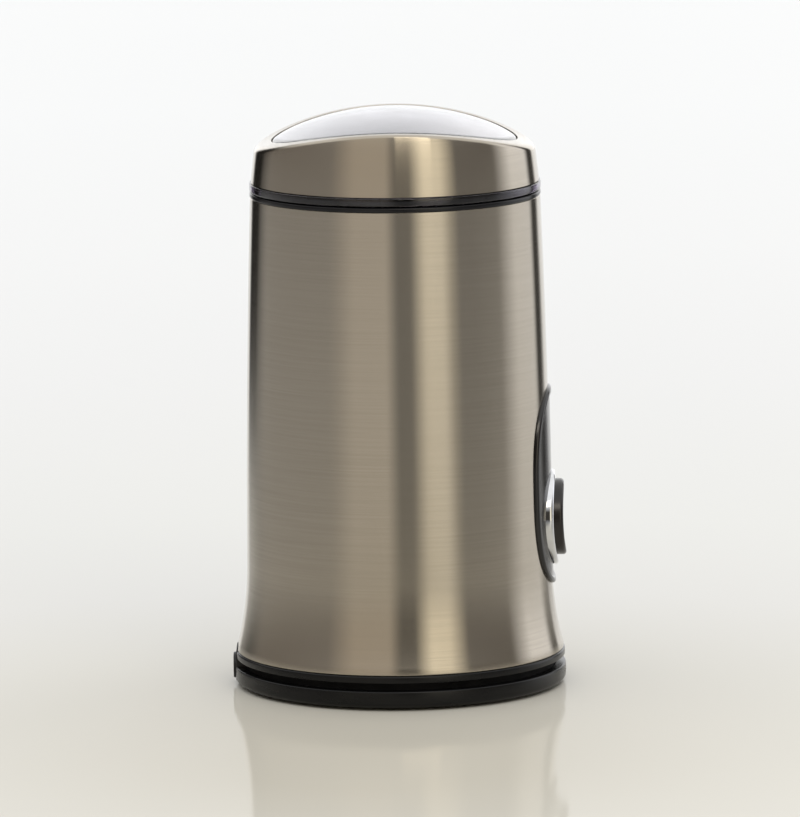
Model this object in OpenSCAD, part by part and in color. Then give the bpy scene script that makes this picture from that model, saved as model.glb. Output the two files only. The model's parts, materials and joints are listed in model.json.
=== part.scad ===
// Electric spice grinder: a one-hand blade grinder in a flared brushed-steel body.
// Millimetres, Z up, origin on the body's axis at the table; the button faces +X, the cord outlet -X.

/* [Base] */
// Radius of the lower flange of the base
base_r = 49.5; // [46:0.1:54]
// Height of the rubber feet under the base
foot_h = 0.8; // [0.6:0.1:2]
// Height of the lower flange
flange_h = 5.1; // [4:0.1:6]
// Rounding of the lower flange's bottom edge
flange_round = 1.7; // [1:0.1:2.4]
// Height of the shadow groove between the two flanges
groove_h = 2.3; // [1.6:0.1:3]
// Depth of the shadow groove
groove_d = 3; // [2:0.1:4]
// Height of the upper flange
ring_h = 2.2; // [1.8:0.1:3]
// How far the upper flange stays inside the lower one
ring_inset = 0.3; // [0.1:0.1:0.5]
// Thickness of the base cover's floor
floor_t = 2.4; // [2:0.1:3]
// Radius of a rubber foot
foot_r = 5; // [4:0.1:6]
// Distance of the feet's centres from the base's edge
foot_edge = 11.5; // [10:0.1:14]
// How far the sleeve's foot stays inside the lower flange
sleeve_inset = 0.5; // [0.4:0.1:1.5]

/* [Body] */
// Height of the steel sleeve
body_h = 136.4; // [134:0.1:140]
// How far the sleeve flares out at its foot
foot_flare = 3.5; // [2:0.1:5]
// How much narrower the sleeve's top edge is than its waist, in radius
body_taper = 2.4; // [1:0.1:4]
// Height of the flare above the sleeve's foot
flare_h = 27; // [20:0.1:28]
// Outward swell of the sleeve between flare and top edge
body_swell = 0.42; // [0:0.01:0.8]
// Wall of the sleeve
body_wall = 0.8; // [0.6:0.1:0.9]

/* [Lid] */
// Height of the collar's black lip above the sleeve
lip_h = 1.4; // [1:0.1:2]
// Gap between the collar's lip and the lid
seam_gap = 0.3; // [0.2:0.1:0.5]
// Height of the smoky flange round the foot of the lid
liner_flange_h = 2.4; // [1.8:0.1:3]
// How far the smoky flange stands out of the sleeve's top edge
liner_lip = 0.2; // [0:0.1:0.6]
// How far the steel cover's foot stays inside the sleeve's top edge
lid_inset = 0.3; // [0:0.1:0.6]
// Height of the steel cover at the ridge of its arch
lid_h = 18.3; // [17:0.1:21]
// Inward lean of the cover's wall, in millimetres for each millimetre of height
lid_lean = 0.1; // [0.03:0.01:0.12]
// How much further the wall curves in, up to the height of the ridge
lid_tuck = 0.8; // [0:0.1:1.2]
// Radius of the arch that the cover's top follows
arch_r = 116; // [105:1:140]
// Width of the steel cover's rim round the window
cover_rim_w = 6.3; // [6:0.1:10]
// How far the window bulges above the arch
window_rise = 2.6; // [1:0.1:4]
// Width of the shoulder's rounding at the two low sides of the arch
low_run = 2.2; // [1:0.1:4]
// Height of the shoulder's rounding at the two low sides of the arch
low_drop = 1.5; // [0.8:0.1:3]
// Width of the shoulder's rounding at the two high sides of the arch
high_run = 1; // [0.7:0.1:2]
// Height of the shoulder's rounding at the two high sides of the arch
high_drop = 0.8; // [0.6:0.1:2]
// Wall of the steel cover
lid_wall = 0.8; // [0.6:0.1:1]
// Wall of the clear liner
liner_wall = 1.5; // [1.2:0.1:1.7]

/* [Bowl and blade] */
// Room between the bowl and the sleeve's top edge
bowl_room = 7.5; // [7.4:0.1:10]
// Depth of the bowl below its flange
bowl_depth = 46.2; // [44:0.1:47]
// Wall of the bowl
bowl_wall = 0.8; // [0.6:0.1:1]
// Rounding between the bowl's wall and floor
bowl_round = 7; // [4:0.1:9]
// How far the bowl's rim stands above the sleeve
rim_rise = 6.2; // [5:0.1:7]
// Gap between the blade's tips and the bowl
blade_gap = 4; // [3:0.1:8]
// Width of the blade
blade_w = 10; // [8:0.1:12]
// Thickness of the blade
blade_t = 1.4; // [1:0.1:2]
// Upward tilt of the blade's arms, in degrees
blade_tilt = 11; // [0:1:15]
// Height of the spacer that carries the blade
hub_h = 3; // [2:0.1:4]

/* [Motor] */
// Radius of the motor shaft
shaft_r = 3; // [2.5:0.1:3.2]
// Depth of the stator's winding slots
slot_d = 7; // [6:0.1:8]
// Air gap between rotor and stator
air_gap = 0.6; // [0.4:0.1:0.8]
// Height of the rotor's and stator's stacks
stack_h = 24; // [20:0.1:25]
// Gap between the stator's two round sides and the legs
stator_gap = 7.5; // [7:0.1:8]
// Depth of the stator's two flats
stator_flat = 5; // [4:0.1:6]
// Radius of the commutator
comm_r = 9; // [8:0.1:9.5]
// Length of the commutator
comm_h = 12; // [10:0.1:12]
// Height of the rubber mounts between motor and deck
mount_h = 4; // [3:0.1:5]
// Radius of the motor's through screws
screw_r = 1.5; // [1.3:0.1:1.6]

/* [Frame] */
// Thickness of the frame's deck
deck_t = 3; // [2.5:0.1:3.5]
// Radius of the frame's legs
leg_r = 3.5; // [3:0.1:3.8]
// Gap between the legs and the sleeve's waist
leg_gap = 1.2; // [1:0.1:2]
// Radius of the columns that carry the collar
column_r = 3.2; // [2.8:0.1:3.3]

/* [Button] */
// Gap between the switch behind the button and the stator above it
switch_clear = 3.1; // [2:0.1:5]
// How far the button's face stands out of the sleeve's waist
button_out = 4.6; // [4:0.1:5.2]
// Radius of the button
button_r = 11.4; // [10:0.1:12]
// Travel of the button
button_travel = 2; // [1:0.1:2]
// Depth of the hollow in the button's face
button_dish = 0.9; // [0.4:0.1:1.2]
// How far the hollow's middle lies above the button's centre
dish_shift = 2; // [0:0.1:3]
// How far the button stands out of its bezel
button_proud = 2.9; // [2.4:0.1:3.2]
// Radius of the chrome bezel
bezel_r = 14.2; // [13.4:0.1:15]
// Height of the button panel
panel_h = 59; // [56:0.1:62]
// Width of the button panel
panel_w = 41.4; // [40:0.1:44]
// How far the panel's centre lies above the button's
panel_rise = 10.1; // [8:0.1:12]
// Width of the panel's raised rim
panel_rim_w = 1.7; // [1.2:0.1:2.2]
// How far the raised rim stands out of the sleeve
panel_rim_t = 1; // [0.7:0.1:1.3]
// How far the panel's field stands out of the sleeve
panel_field_t = 0.4; // [0.2:0.1:0.6]

/* [Cord outlet] */
// Radius of the bore that the cord comes out of
cord_r = 3.1; // [2.6:0.1:3.2]
// Height of the cord's centre above the table
cord_z = 5.5; // [5.3:0.1:6]
// Width of the outlet's arch
outlet_w = 12; // [10:0.1:14]
// Height of the outlet's top above the table
outlet_top = 12.4; // [11.5:0.1:13]
// How far the outlet's arch stays inside the base's edge
outlet_inset = 0.3; // [0:0.1:0.6]
// How far the round boss of the outlet stands out of the base's edge
outlet_out = 0.5; // [0.3:0.1:1]
// How far the outlet reaches into the base from its edge
outlet_len = 6.5; // [6:0.1:7]

/* [Clearances] */
// Clearance of a running fit, in radius
run_gap = 0.05; // [0.02:0.01:0.09]
// Clearance of a pressed or glued seat
seat_gap = 0.02; // [0.01:0.01:0.05]
// Clearance between fixed pieces that are assembled by hand
fit_gap = 0.15; // [0.1:0.01:0.25]
// Clearance round pieces that move
move_gap = 0.3; // [0.25:0.01:0.35]
// Clearance of screws in their through holes
screw_gap = 0.1; // [0.05:0.01:0.2]
// Clearance between the sleeve's inside and what is put into it
sleeve_gap = 0.5; // [0.3:0.1:0.6]

/* [Hidden] */
$fn = 48;
eps = 0.01;

// Radii of the sleeve, the lid, the bowl and the rings of legs and feet
body_foot_r = base_r - sleeve_inset;
body_waist_r = body_foot_r - foot_flare;
body_top_r = body_waist_r - body_taper;
liner_flange_r = body_top_r + liner_lip;
lid_r = body_top_r - lid_inset;
window_r = lid_r - cover_rim_w;
bowl_r = body_top_r - body_wall - bowl_room - bowl_wall;
blade_len = bowl_r - blade_gap;
leg_ring_r = body_waist_r - body_wall - leg_gap - leg_r;
foot_ring_r = base_r - foot_edge;

// Heights of the base and the sleeve
z_cover = foot_h;
z_groove = z_cover + flange_h;
z_ring = z_groove + groove_h;
z_sleeve = z_ring + ring_h;
z_waist = z_sleeve + flare_h;
z_top = z_sleeve + body_h;

// Heights of the seam and the lid
z_lip = z_top + lip_h;
z_flange = z_lip + seam_gap;
z_flange_top = z_flange + liner_flange_h;
lid_seat = 0.1;
z_lid = z_flange_top + lid_seat;
z_crown = z_lid + lid_h;
z_rim = z_top + rim_rise;

// Heights of the bowl, counted down from its flange
z_bowl = z_rim - bowl_depth;
z_bowl_under = z_bowl - bowl_wall;
deck_rib_h = 3;
z_deck = z_bowl_under - deck_rib_h;
z_deck_under = z_deck - deck_t;

// Heights of the motor, which hangs from the deck
z_posts = z_deck_under - mount_h;
post_h = 14;
z_stack_top = z_posts - post_h;
z_stack = z_stack_top - stack_h;
switch_h = 11;
button_z = z_stack - switch_clear - switch_h / 2;
panel_z = button_z + panel_rise;
end_turn_h = 5;
turn_gap = 1;
z_comm_top = z_stack - end_turn_h - turn_gap;
z_comm = z_comm_top - comm_h;
plate_t = 3;
comm_gap = 5;
z_lower = z_comm - comm_gap - plate_t;
bracket_gap = 1.5;
z_upper = z_stack_top + end_turn_h + bracket_gap;
bearing_h = 8;
bearing_r = 6;
bearing_boss_r = 9;
z_lower_bearing = z_lower + (plate_t - bearing_h) / 2;
shaft_end = 2;
z_shaft = z_lower_bearing - shaft_end;

// Where the motor's through screws run
stator_r = leg_ring_r - leg_r - stator_gap;
stator_w = 2 * (stator_r - stator_flat);
bolt_edge = 2.6;
bolt_angle = 37.3;
bolt_x = (stator_r - bolt_edge) * cos(bolt_angle);
bolt_y = (stator_r - bolt_edge) * sin(bolt_angle);
post_r = 4;
bolt_boss_drop = 0.5;
bolt_end_drop = 2;
arm_w = 6.4;
slot_gap = 0.4;
slot_r = stator_r - bolt_edge - post_r - slot_gap;
rotor_r = slot_r - slot_d;
head_r = 2.8;
head_h = 2;
head_slot = 0.6;
screw_end = 1;

// Height of the blade's stack on the shaft
seal_flange_t = 0.8;
seal_flange_w = 5;
seal_neck_t = 2.1;
seal_bore_r = shaft_r + seal_neck_t + screw_gap;
hub_gap = 0.6;
hub_t = 3.5;
z_hub = z_bowl + seal_flange_t + hub_gap;
z_blade = z_hub + hub_h;
z_nut = z_blade + blade_t;
nut_r = 5;
nut_h = 5;
nut_cap_t = 1.2;
nut_dome_h = 1.6;
nut_end_gap = 0.2;
z_shaft_top = z_nut + nut_h - nut_cap_t;

// Radii of the collar
spigot_t = 2.4;
liner_inner_r = lid_r - lid_wall - fit_gap - liner_wall;
spigot_gap = 0.8;
spigot_r = liner_inner_r - spigot_gap;
lip_out = 0.1;
skirt_t = 2;
skirt_h = 8.8;
z_skirt = z_top - skirt_h;
web_t = 2.8;
deck_gap = 1;

// Angles of the legs, of the columns and of the feet
leg_angles = [45:90:315];
column_angles = [75:90:345];
foot_angles = [22:90:292];
column_ring_r = (bowl_r + bowl_wall + body_top_r - body_wall) / 2;

// The button and what lies behind it, along X
button_face = body_waist_r + button_out;
dish_r = (button_r * button_r + button_dish * button_dish) / (2 * button_dish);
dish_x = button_face - pow(button_r + dish_shift, 2) / (2 * dish_r);
dish_z = button_z + dish_shift;
button_gap = 0.25;
neck_t = 1.2;
neck_len = 9;
cup_gap = 0.2;
cup_floor_t = 1.2;
bezel_bore_r = button_r + button_gap;
bezel_neck_r = bezel_bore_r + neck_t;
neck_back = button_face - neck_len;
flange_t = 1;
cup_r = bezel_neck_r + cup_gap;
cup_t = 1.4;
cup_end_x = neck_back - move_gap - flange_t - button_travel - move_gap;
cup_back_x = cup_end_x - cup_floor_t;
stem_r = 2;
stem_gap = 1.7;
button_spring_r = 5;
button_wire_r = 0.35;
stem_tip = cup_end_x + stem_gap;
crown_t = 2.2;
stem_room = 1;
far_x = 2 * base_r;
crown_under = dish_x - crown_t;

// The switch, carried by a wall between two legs
switch_w = 20;
switch_gap = 0.5;
switch_x = cup_back_x - switch_gap;
switch_d = 7;
wall_t = 1.6;
plunger_r = 1.2;
plunger_len = 6.4;
switch_wall = 0.8;
plunger_tip = stem_tip - run_gap;

// The rod that tells the switch whether the lid is on
rod_angle = 30;
rod_r = 0.9;
rod_edge = 2.4;
rod_lift = 0.1;
rod_spring_r = 1.5;
rod_ring_r = body_top_r - rod_edge;
rod_x = rod_ring_r * cos(rod_angle);
rod_y = rod_ring_r * sin(rod_angle);
z_rod_top = z_flange - run_gap;
z_rod_foot = button_z + switch_h / 2 + rod_lift;
rod_foot_h = 2;
rod_foot_w = 2.6;
rod_stop_t = 1;
rod_stop_r = 2;
rod_stop_drop = 8;
z_rod_stop = z_deck_under - rod_stop_drop;
rod_spring_len = 10;
z_rod_ledge = z_rod_stop - rod_spring_len;
rod_ledge_t = 3;
ledge_side = 0.4;

// Where the cord is clamped inside the base
clamp_edge = 18.5;
clamp_x0 = clamp_edge - base_r;
clamp_len = 7;
clamp_w = 18;
clamp_screw_y = 6.5;
clamp_h = 4;
clamp_gap = 0.2;
clamp_screw_r = 1.2;
post_base_r = 4.5;
vent_edge = 9;
foot_sink = 0.6;
leg_bite = 14;
base_spigot_h = 4;
base_spigot_t = 2.2;
ring_web_w = 6;
vent_w = 2.2;
vent_pitch = 5;
vent_from = 2;
vent_to = foot_ring_r - foot_r - vent_edge;
outlet_floor = 0.8;
outlet_room = 3;

// Radius of the sleeve's outside at height z
flare_r = (flare_h * flare_h + pow(body_foot_r - body_waist_r, 2)) / (2 * (body_foot_r - body_waist_r));
function flare_at(d) = body_waist_r + flare_r - sqrt(flare_r * flare_r - d * d);
function upper_at(t) = body_waist_r + (body_top_r - body_waist_r) * t + 4 * body_swell * t * (1 - t);
function body_r(z) = z < z_waist ? flare_at(z_waist - z) : upper_at((z - z_waist) / (z_top - z_waist));

// Points along the sleeve's outside, moved outwards by grow, from z0 up to z1
function body_line(z0, z1, grow, steps) =
    [for (i = [0:steps]) let (z = z0 + (z1 - z0) * i / steps) [body_r(z) + grow, z]];
function reversed(list) = [for (i = [len(list) - 1:-1:0]) list[i]];

// The lid's wall and arch at angle a, moved inwards by inset; the rim keeps a flat round the window
rim_flat = 0.4;
function lid_wall_r(z, inset) =
    lid_r - lid_lean * (z - z_lid) - lid_tuck * pow((z - z_lid) / lid_h, 3) - inset;
function arch_z(r, a, inset) = z_crown - inset - arch_r + sqrt(arch_r * arch_r - pow(r * cos(a), 2));
function corner_guess(r, a, inset) = lid_wall_r(arch_z(r, a, inset), inset);
function corner_r(a, inset) = corner_guess(corner_guess(lid_r, a, inset), a, inset);
function between(low, high, a) = low * pow(cos(a), 2) + high * pow(sin(a), 2);

// Width and height of the shoulder's rounding at angle a, made smaller for the surfaces inside
least_bend = 0.25;
function shoulder(a, less) = [
    max(min(between(low_run, high_run, a), corner_r(a, 0) - window_r - rim_flat) - less, least_bend),
    max(between(low_drop, high_drop, a) - less, least_bend)
];

// A smooth corner from the wall to the arch, as a quadratic curve in n steps
function bend(p, c, q, t) = (1 - t) * (1 - t) * p + 2 * t * (1 - t) * c + t * t * q;
function shoulder_line(a, inset, size, n) =
    let (
        rc = corner_r(a, inset),
        zc = arch_z(rc, a, inset),
        p = [lid_wall_r(zc - size[1], inset), zc - size[1]],
        q = [rc - size[0], arch_z(rc - size[0], a, inset)]
    )
    [for (i = [0:n]) bend(p, [rc, zc], q, i / n)];

// Points up the lid's wall, from its foot to just under the shoulder
wall_steps = 4;
function lid_wall_line(a, inset, size) =
    let (top = arch_z(corner_r(a, inset), a, inset) - size[1])
    [for (i = [0:wall_steps - 1]) let (z = z_lid + (top - z_lid) * i / wall_steps) [lid_wall_r(z, inset), z]];
function arch_line(a, inset, r0, r1, n) =
    [for (i = [0:n]) let (r = r0 + (r1 - r0) * i / n) [r, arch_z(r, a, inset)]];
function dome_z(r, a, inset) = arch_z(r, a, inset) + window_rise * (1 - pow(r / window_r, 2));
function dome_line(a, inset, r0, r1, n) =
    [for (i = [0:n]) let (r = r0 + (r1 - r0) * i / n) [r, dome_z(r, a, inset)]];

// Closed outline of the steel cover at angle a, as [radius, height] points
function cover_outline(a) =
    let (
        bend_out = shoulder(a, 0),
        bend_in = shoulder(a, lid_wall / 2),
        outer = shoulder_line(a, 0, bend_out, 6)
    )
    concat(
        lid_wall_line(a, 0, bend_out),
        outer,
        [arch_line(a, 0, outer[6][0], window_r, 2)[1], [window_r, arch_z(window_r, a, 0)]],
        [[window_r, arch_z(window_r, a, lid_wall)]],
        reversed(shoulder_line(a, lid_wall, bend_in, 4)),
        reversed(lid_wall_line(a, lid_wall, bend_in))
    );

// Outline of the liner at angle a, from just beside its top pole to just beside its inner pole
under_cover = lid_wall + fit_gap;
liner_inset = under_cover + liner_wall;
window_sink = 0.15;
function liner_outline(a) =
    let (
        edge = window_r - move_gap,
        bend_out = shoulder(a, lid_wall / 2),
        bend_in = shoulder(a, lid_wall),
        wall_in = lid_wall_line(a, liner_inset, bend_in)
    )
    concat(
        dome_line(a, window_sink, window_r / 6, edge, 6),
        [[edge, arch_z(edge, a, under_cover)]],
        reversed(shoulder_line(a, under_cover, bend_out, 4)),
        reversed(lid_wall_line(a, under_cover, bend_out)),
        [[lid_wall_r(z_lid, under_cover), z_flange_top]],
        [[liner_flange_r, z_flange_top], [liner_flange_r, z_flange], [liner_inner_r, z_flange]],
        [for (i = [1:wall_steps - 1]) wall_in[i]],
        shoulder_line(a, liner_inset, bend_in, 4),
        dome_line(a, liner_inset, window_r, window_r / 6, 5)
    );

function turned(p, a) = [p[0] * cos(a), p[0] * sin(a), p[1]];

// A closed ring whose outline may change round the axis
module swept_ring(rings) {
    n = len(rings);
    m = len(rings[0]);
    points = [for (i = [0:n - 1]) for (p = rings[i]) turned(p, 360 * i / n)];
    faces = [
        for (i = [0:n - 1]) for (j = [0:m - 1])
            let (a = i * m + j, b = i * m + (j + 1) % m,
                c = ((i + 1) % n) * m + (j + 1) % m, d = ((i + 1) % n) * m + j)
            for (f = [[a, b, c], [a, c, d]]) f
    ];
    polyhedron(points = points, faces = faces);
}

// A closed cap whose outline runs from a pole on top to a pole below
module swept_cap(rings, top, under) {
    n = len(rings);
    m = len(rings[0]);
    points = concat([for (i = [0:n - 1]) for (p = rings[i]) turned(p, 360 * i / n)],
        [[0, 0, top], [0, 0, under]]);
    sides = [
        for (i = [0:n - 1]) for (j = [0:m - 2])
            let (a = i * m + j, b = a + 1, d = ((i + 1) % n) * m + j, c = d + 1)
            for (f = [[a, c, b], [a, d, c]]) f
    ];
    poles = [
        for (i = [0:n - 1]) let (k = (i + 1) % n)
            for (f = [[n * m, k * m, i * m], [n * m + 1, i * m + m - 1, k * m + m - 1]]) f
    ];
    polyhedron(points = points, faces = concat(sides, poles));
}

// A coil spring on the Z axis, standing from 0 to length
module coil_spring(mean_r, wire_r, length, turns) {
    sides = 6;
    per_turn = 12;
    steps = turns * per_turn;
    rise = length - 2 * wire_r;
    function ring_at(i) = [for (k = [0:sides - 1])
        let (a = 360 * i / per_turn, b = 360 * k / sides, r = mean_r + wire_r * cos(b))
        [r * cos(a), r * sin(a), wire_r + rise * i / steps + wire_r * sin(b)]];
    points = [for (i = [0:steps]) for (p = ring_at(i)) p];
    last = steps * sides;
    skin = [
        for (i = [0:steps - 1]) for (k = [0:sides - 1])
            let (a = i * sides + k, b = i * sides + (k + 1) % sides, c = b + sides, d = a + sides)
            for (f = [[a, b, c], [a, c, d]]) f
    ];
    ends = [[for (k = [sides - 1:-1:0]) k], [for (k = [0:sides - 1]) last + k]];
    polyhedron(points = points, faces = concat(skin, ends));
}

module rod(r, z0, z1) {
    translate([0, 0, z0]) cylinder(r = r, h = z1 - z0);
}

module tube(r_out, r_in, z0, z1) {
    difference() {
        rod(r_out, z0, z1);
        rod(r_in, z0 - 1, z1 + 1);
    }
}

// A rod along X from x0 to x1, at height z
module rod_x_at(r, x0, x1, z) {
    translate([x0, 0, z]) rotate([0, 90, 0]) cylinder(r = r, h = x1 - x0);
}

module polar(radius, angles) {
    for (a = angles) rotate([0, 0, a]) translate([radius, 0, 0]) children();
}

module at_bolts() {
    for (x = [-bolt_x, bolt_x], y = [-bolt_y, bolt_y])
        translate([x, y, 0]) rotate([0, 0, atan2(y, x)]) children();
}

// A pan-head screw pointing up, its head's underside at z
module screw(r, head, z_head, z_tip) {
    difference() {
        union() {
            rod(r, z_head, z_tip);
            rod(head, z_head - head_h, z_head);
        }
        translate([0, 0, z_head - head_h]) cube([head, head_slot, 2 * head_slot], center = true);
        translate([0, 0, z_head - head_h]) cube([head_slot, head, 2 * head_slot], center = true);
    }
}

// Outline of the button panel in the YZ plane, shrunk by inset
panel_power = 2.8;
panel_back_t = 1.4;
function panel_point(a, inset) =
    let (c = cos(a), s = sin(a))
    [(panel_w / 2 - inset) * sign(c) * pow(abs(c), 2 / panel_power),
        panel_z + (panel_h / 2 - inset) * sign(s) * pow(abs(s), 2 / panel_power)];
module panel_prism(inset, past = 0) {
    from = base_r / 2 - past;
    translate([from, 0, 0]) rotate([90, 0, 90]) linear_extrude(far_x + past - from)
        polygon([for (a = [0:6:354]) panel_point(a, inset)]);
}

// The shell between two offsets from the sleeve's outside, on the button's side
module panel_band(inner, outer) {
    low = panel_z - panel_h / 2 - 2;
    high = panel_z + panel_h / 2 + 2;
    rotate([0, 0, -45]) rotate_extrude(angle = 90)
        polygon(concat(body_line(low, high, inner, 12), reversed(body_line(low, high, outer, 12))));
}

// The solid space inside the sleeve's outside, grown by the given amount, behind the button
module behind_button(grow) {
    low = button_z - bezel_r - 2;
    high = button_z + bezel_r + 2;
    rotate_extrude()
        polygon(concat([[0, low]], body_line(low, high, grow, 8), [[0, high]]));
}

// Arch-shaped block of the cord outlet, grown by the given amount
module outlet_arch(grow, x0, x1) {
    r = outlet_w / 2 + grow;
    low = z_cover + outlet_floor - grow;
    centre = outlet_top - outlet_w / 2;
    translate([x0, 0, 0]) rotate([90, 0, 90]) linear_extrude(x1 - x0) union() {
        translate([0, centre]) circle(r = r);
        translate([-r, low]) square([2 * r, centre - low]);
    }
}

module outlet_cut() {
    outlet_arch(fit_gap, -far_x, outlet_len + outlet_room - base_r);
}

module lid_cover() {
    color("#a59a8c") swept_ring([for (i = [0:71]) cover_outline(5 * i)]);
}

module lid_liner() {
    color("#6d6878", 0.5) swept_cap([for (i = [0:71]) liner_outline(5 * i)],
        dome_z(0, 0, window_sink), dome_z(0, 0, liner_inset));
}

module body_shell() {
    flare_steps = 8;
    rise_steps = 12;
    outer = concat(body_line(z_sleeve, z_waist - 0.5, 0, flare_steps),
        body_line(z_waist + 0.5, z_top, 0, rise_steps));
    color("#9d9283") difference() {
        rotate_extrude() polygon(concat(outer, reversed([for (p = outer) [p[0] - body_wall, p[1]]])));
        panel_prism(panel_rim_w);
        outlet_cut();
    }
}

module top_collar() {
    skirt_r = body_r(z_skirt + skirt_h / 2) - body_wall - move_gap;
    lip_r = body_top_r + lip_out;
    color("#1a1a1c") difference() {
        union() {
            rotate_extrude() polygon([
                [spigot_r - spigot_t, z_lip - web_t], [skirt_r - skirt_t, z_lip - web_t],
                [skirt_r - skirt_t, z_skirt], [skirt_r, z_skirt], [skirt_r, z_top],
                [lip_r, z_top], [lip_r, z_lip], [spigot_r, z_lip],
                [spigot_r, z_rim], [spigot_r - spigot_t, z_rim]
            ]);
            polar(column_ring_r, column_angles) rod(column_r, z_skirt, z_lip - eps);
        }
        rod(bowl_r + bowl_wall + fit_gap, z_skirt - 1, z_rim + 1);
        polar(column_ring_r, column_angles) rod(screw_r + seat_gap, z_skirt - 1, z_top);
        polar(rod_ring_r, [rod_angle]) rod(rod_r + run_gap, z_skirt - 1, z_lip + 1);
    }
}

module grinding_bowl() {
    outer_round = bowl_round + bowl_wall;
    rim_r = spigot_r - fit_gap;
    function corner(r) = [for (i = [0:6]) let (a = -90 + 15 * i)
        [bowl_r - bowl_round + r * cos(a), z_bowl + bowl_round + r * sin(a)]];
    color("#b9bcc0") difference() {
        rotate_extrude() polygon(concat(
            [[0, z_bowl_under]], corner(outer_round),
            [[bowl_r + bowl_wall, z_rim], [rim_r, z_rim], [rim_r, z_rim + bowl_wall],
                [bowl_r, z_rim + bowl_wall]],
            reversed(corner(bowl_round)), [[0, z_bowl]]
        ));
        rod(seal_bore_r, z_bowl_under - 1, z_bowl + 1);
    }
}

module bowl_seal() {
    color("#2a2a2c") difference() {
        union() {
            rod(shaft_r + seal_neck_t, z_deck_under, z_bowl + eps);
            rod(shaft_r + seal_flange_w, z_bowl, z_bowl + seal_flange_t);
        }
        rod(shaft_r + run_gap, z_deck_under - 1, z_bowl + 2);
    }
}

module motor_frame() {
    deck_r = body_r(z_deck) - body_wall - deck_gap;
    rib_inset = 3;
    rib_t = 2;
    boss_r = seal_bore_r + rib_t + 1.8;
    wall_rise = 2;
    wall_x = switch_x - switch_d - wall_t;
    wall_half = leg_ring_r * sin(45);
    ledge_from = [leg_ring_r * cos(45), leg_ring_r * sin(45)];
    ledge_turn = atan2(rod_y - ledge_from[1], rod_x - ledge_from[0]);
    ledge_len = norm([rod_x - ledge_from[0], rod_y - ledge_from[1]]) + rod_stop_r;
    color("#d9d6cf") difference() {
        union() {
            rod(deck_r, z_deck_under, z_deck);
            tube(bowl_r - rib_inset, bowl_r - rib_inset - rib_t, z_deck - eps, z_bowl_under);
            rod(boss_r, z_deck - eps, z_bowl_under);
            at_bolts() rod(leg_r, z_deck - eps, z_bowl_under - bolt_boss_drop);
            polar(column_ring_r, column_angles) rod(column_r, z_deck - eps, z_skirt);
            polar(leg_ring_r, leg_angles) rod(leg_r, z_sleeve, z_deck_under + eps);
            translate([wall_x, -wall_half, button_z - switch_h / 2 - wall_rise])
                cube([wall_t, 2 * wall_half, switch_h + 2 * wall_rise]);
            translate([ledge_from[0], ledge_from[1], z_rod_ledge - rod_ledge_t])
                rotate([0, 0, ledge_turn]) translate([0, -rod_stop_r - ledge_side, 0])
                cube([ledge_len, 2 * (rod_stop_r + ledge_side), rod_ledge_t]);
        }
        rod(seal_bore_r, z_deck_under - 1, z_bowl + 1);
        at_bolts() rod(screw_r + seat_gap, z_deck_under - 1, z_bowl_under - bolt_boss_drop - 1);
        polar(column_ring_r, column_angles) rod(screw_r + screw_gap, z_deck_under - 1, z_skirt + 1);
        polar(leg_ring_r, leg_angles) rod(screw_r + seat_gap, z_sleeve - 1, z_sleeve + leg_bite + 2);
        polar(rod_ring_r, [rod_angle]) rod(rod_r + run_gap, z_rod_ledge - 5, z_deck + 1);
    }
}

module frame_screws() {
    color("#8f9296") polar(column_ring_r, column_angles)
        screw(screw_r, head_r, z_deck_under, z_top - screw_end);
}

module base_ring() {
    spigot = body_r(z_sleeve + base_spigot_h) - body_wall - sleeve_gap;
    inner = leg_ring_r - ring_web_w;
    ring_r = base_r - ring_inset;
    edge = 0.4;
    low_edge = 0.3;
    color("#161617") difference() {
        union() {
            rotate_extrude() polygon([
                [inner, z_ring], [ring_r - low_edge, z_ring], [ring_r, z_ring + low_edge],
                [ring_r, z_sleeve - edge], [ring_r - edge, z_sleeve], [inner, z_sleeve]
            ]);
            tube(spigot, spigot - base_spigot_t, z_sleeve - eps, z_sleeve + base_spigot_h);
        }
        polar(leg_ring_r, leg_angles) rod(screw_r + screw_gap, z_ring - 1, z_sleeve + 1);
        outlet_cut();
    }
}

module base_cover() {
    cover_neck_r = base_r - groove_d;
    cover_neck_t = 2.6;
    edge = 0.4;
    post_gap = 0.1;
    low_corner = [for (a = [-90:15:0])
        [base_r - flange_round + flange_round * cos(a), z_cover + flange_round + flange_round * sin(a)]];
    color("#161617") difference() {
        union() {
            rotate_extrude() polygon(concat(
                [[0, z_cover]], low_corner,
                [[base_r, z_groove - edge], [base_r - edge, z_groove],
                    [cover_neck_r, z_groove], [cover_neck_r, z_ring],
                    [cover_neck_r - cover_neck_t, z_ring], [cover_neck_r - cover_neck_t, z_cover + floor_t],
                    [0, z_cover + floor_t]]
            ));
            polar(leg_ring_r, leg_angles)
                rod(post_base_r, z_cover + floor_t - eps, z_ring - post_gap);
            translate([clamp_x0, -clamp_w / 2, z_cover + floor_t - eps])
                cube([clamp_len, clamp_w, cord_z - z_cover - floor_t]);
        }
        polar(leg_ring_r, leg_angles) rod(screw_r + screw_gap, z_cover - 1, z_ring + 1);
        polar(leg_ring_r, leg_angles) rod(head_r + move_gap, z_cover - 1, z_cover + head_h);
        polar(foot_ring_r, foot_angles) rod(foot_r + fit_gap, z_cover - 1, z_cover + foot_sink);
        rod_x_at(cord_r, clamp_x0 - 1, clamp_x0 + clamp_len + 1, cord_z);
        for (y = [-clamp_screw_y, clamp_screw_y])
            translate([clamp_x0 + clamp_len / 2, y, 0])
                rod(clamp_screw_r + seat_gap, z_cover + floor_t / 2, cord_z + 1);
        outlet_cut();
        for (i = [-3:3]) translate([vent_from, vent_pitch * i - vent_w / 2, z_cover - 1])
            cube([vent_to - vent_from, vent_w, floor_t + 2]);
    }
}

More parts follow.
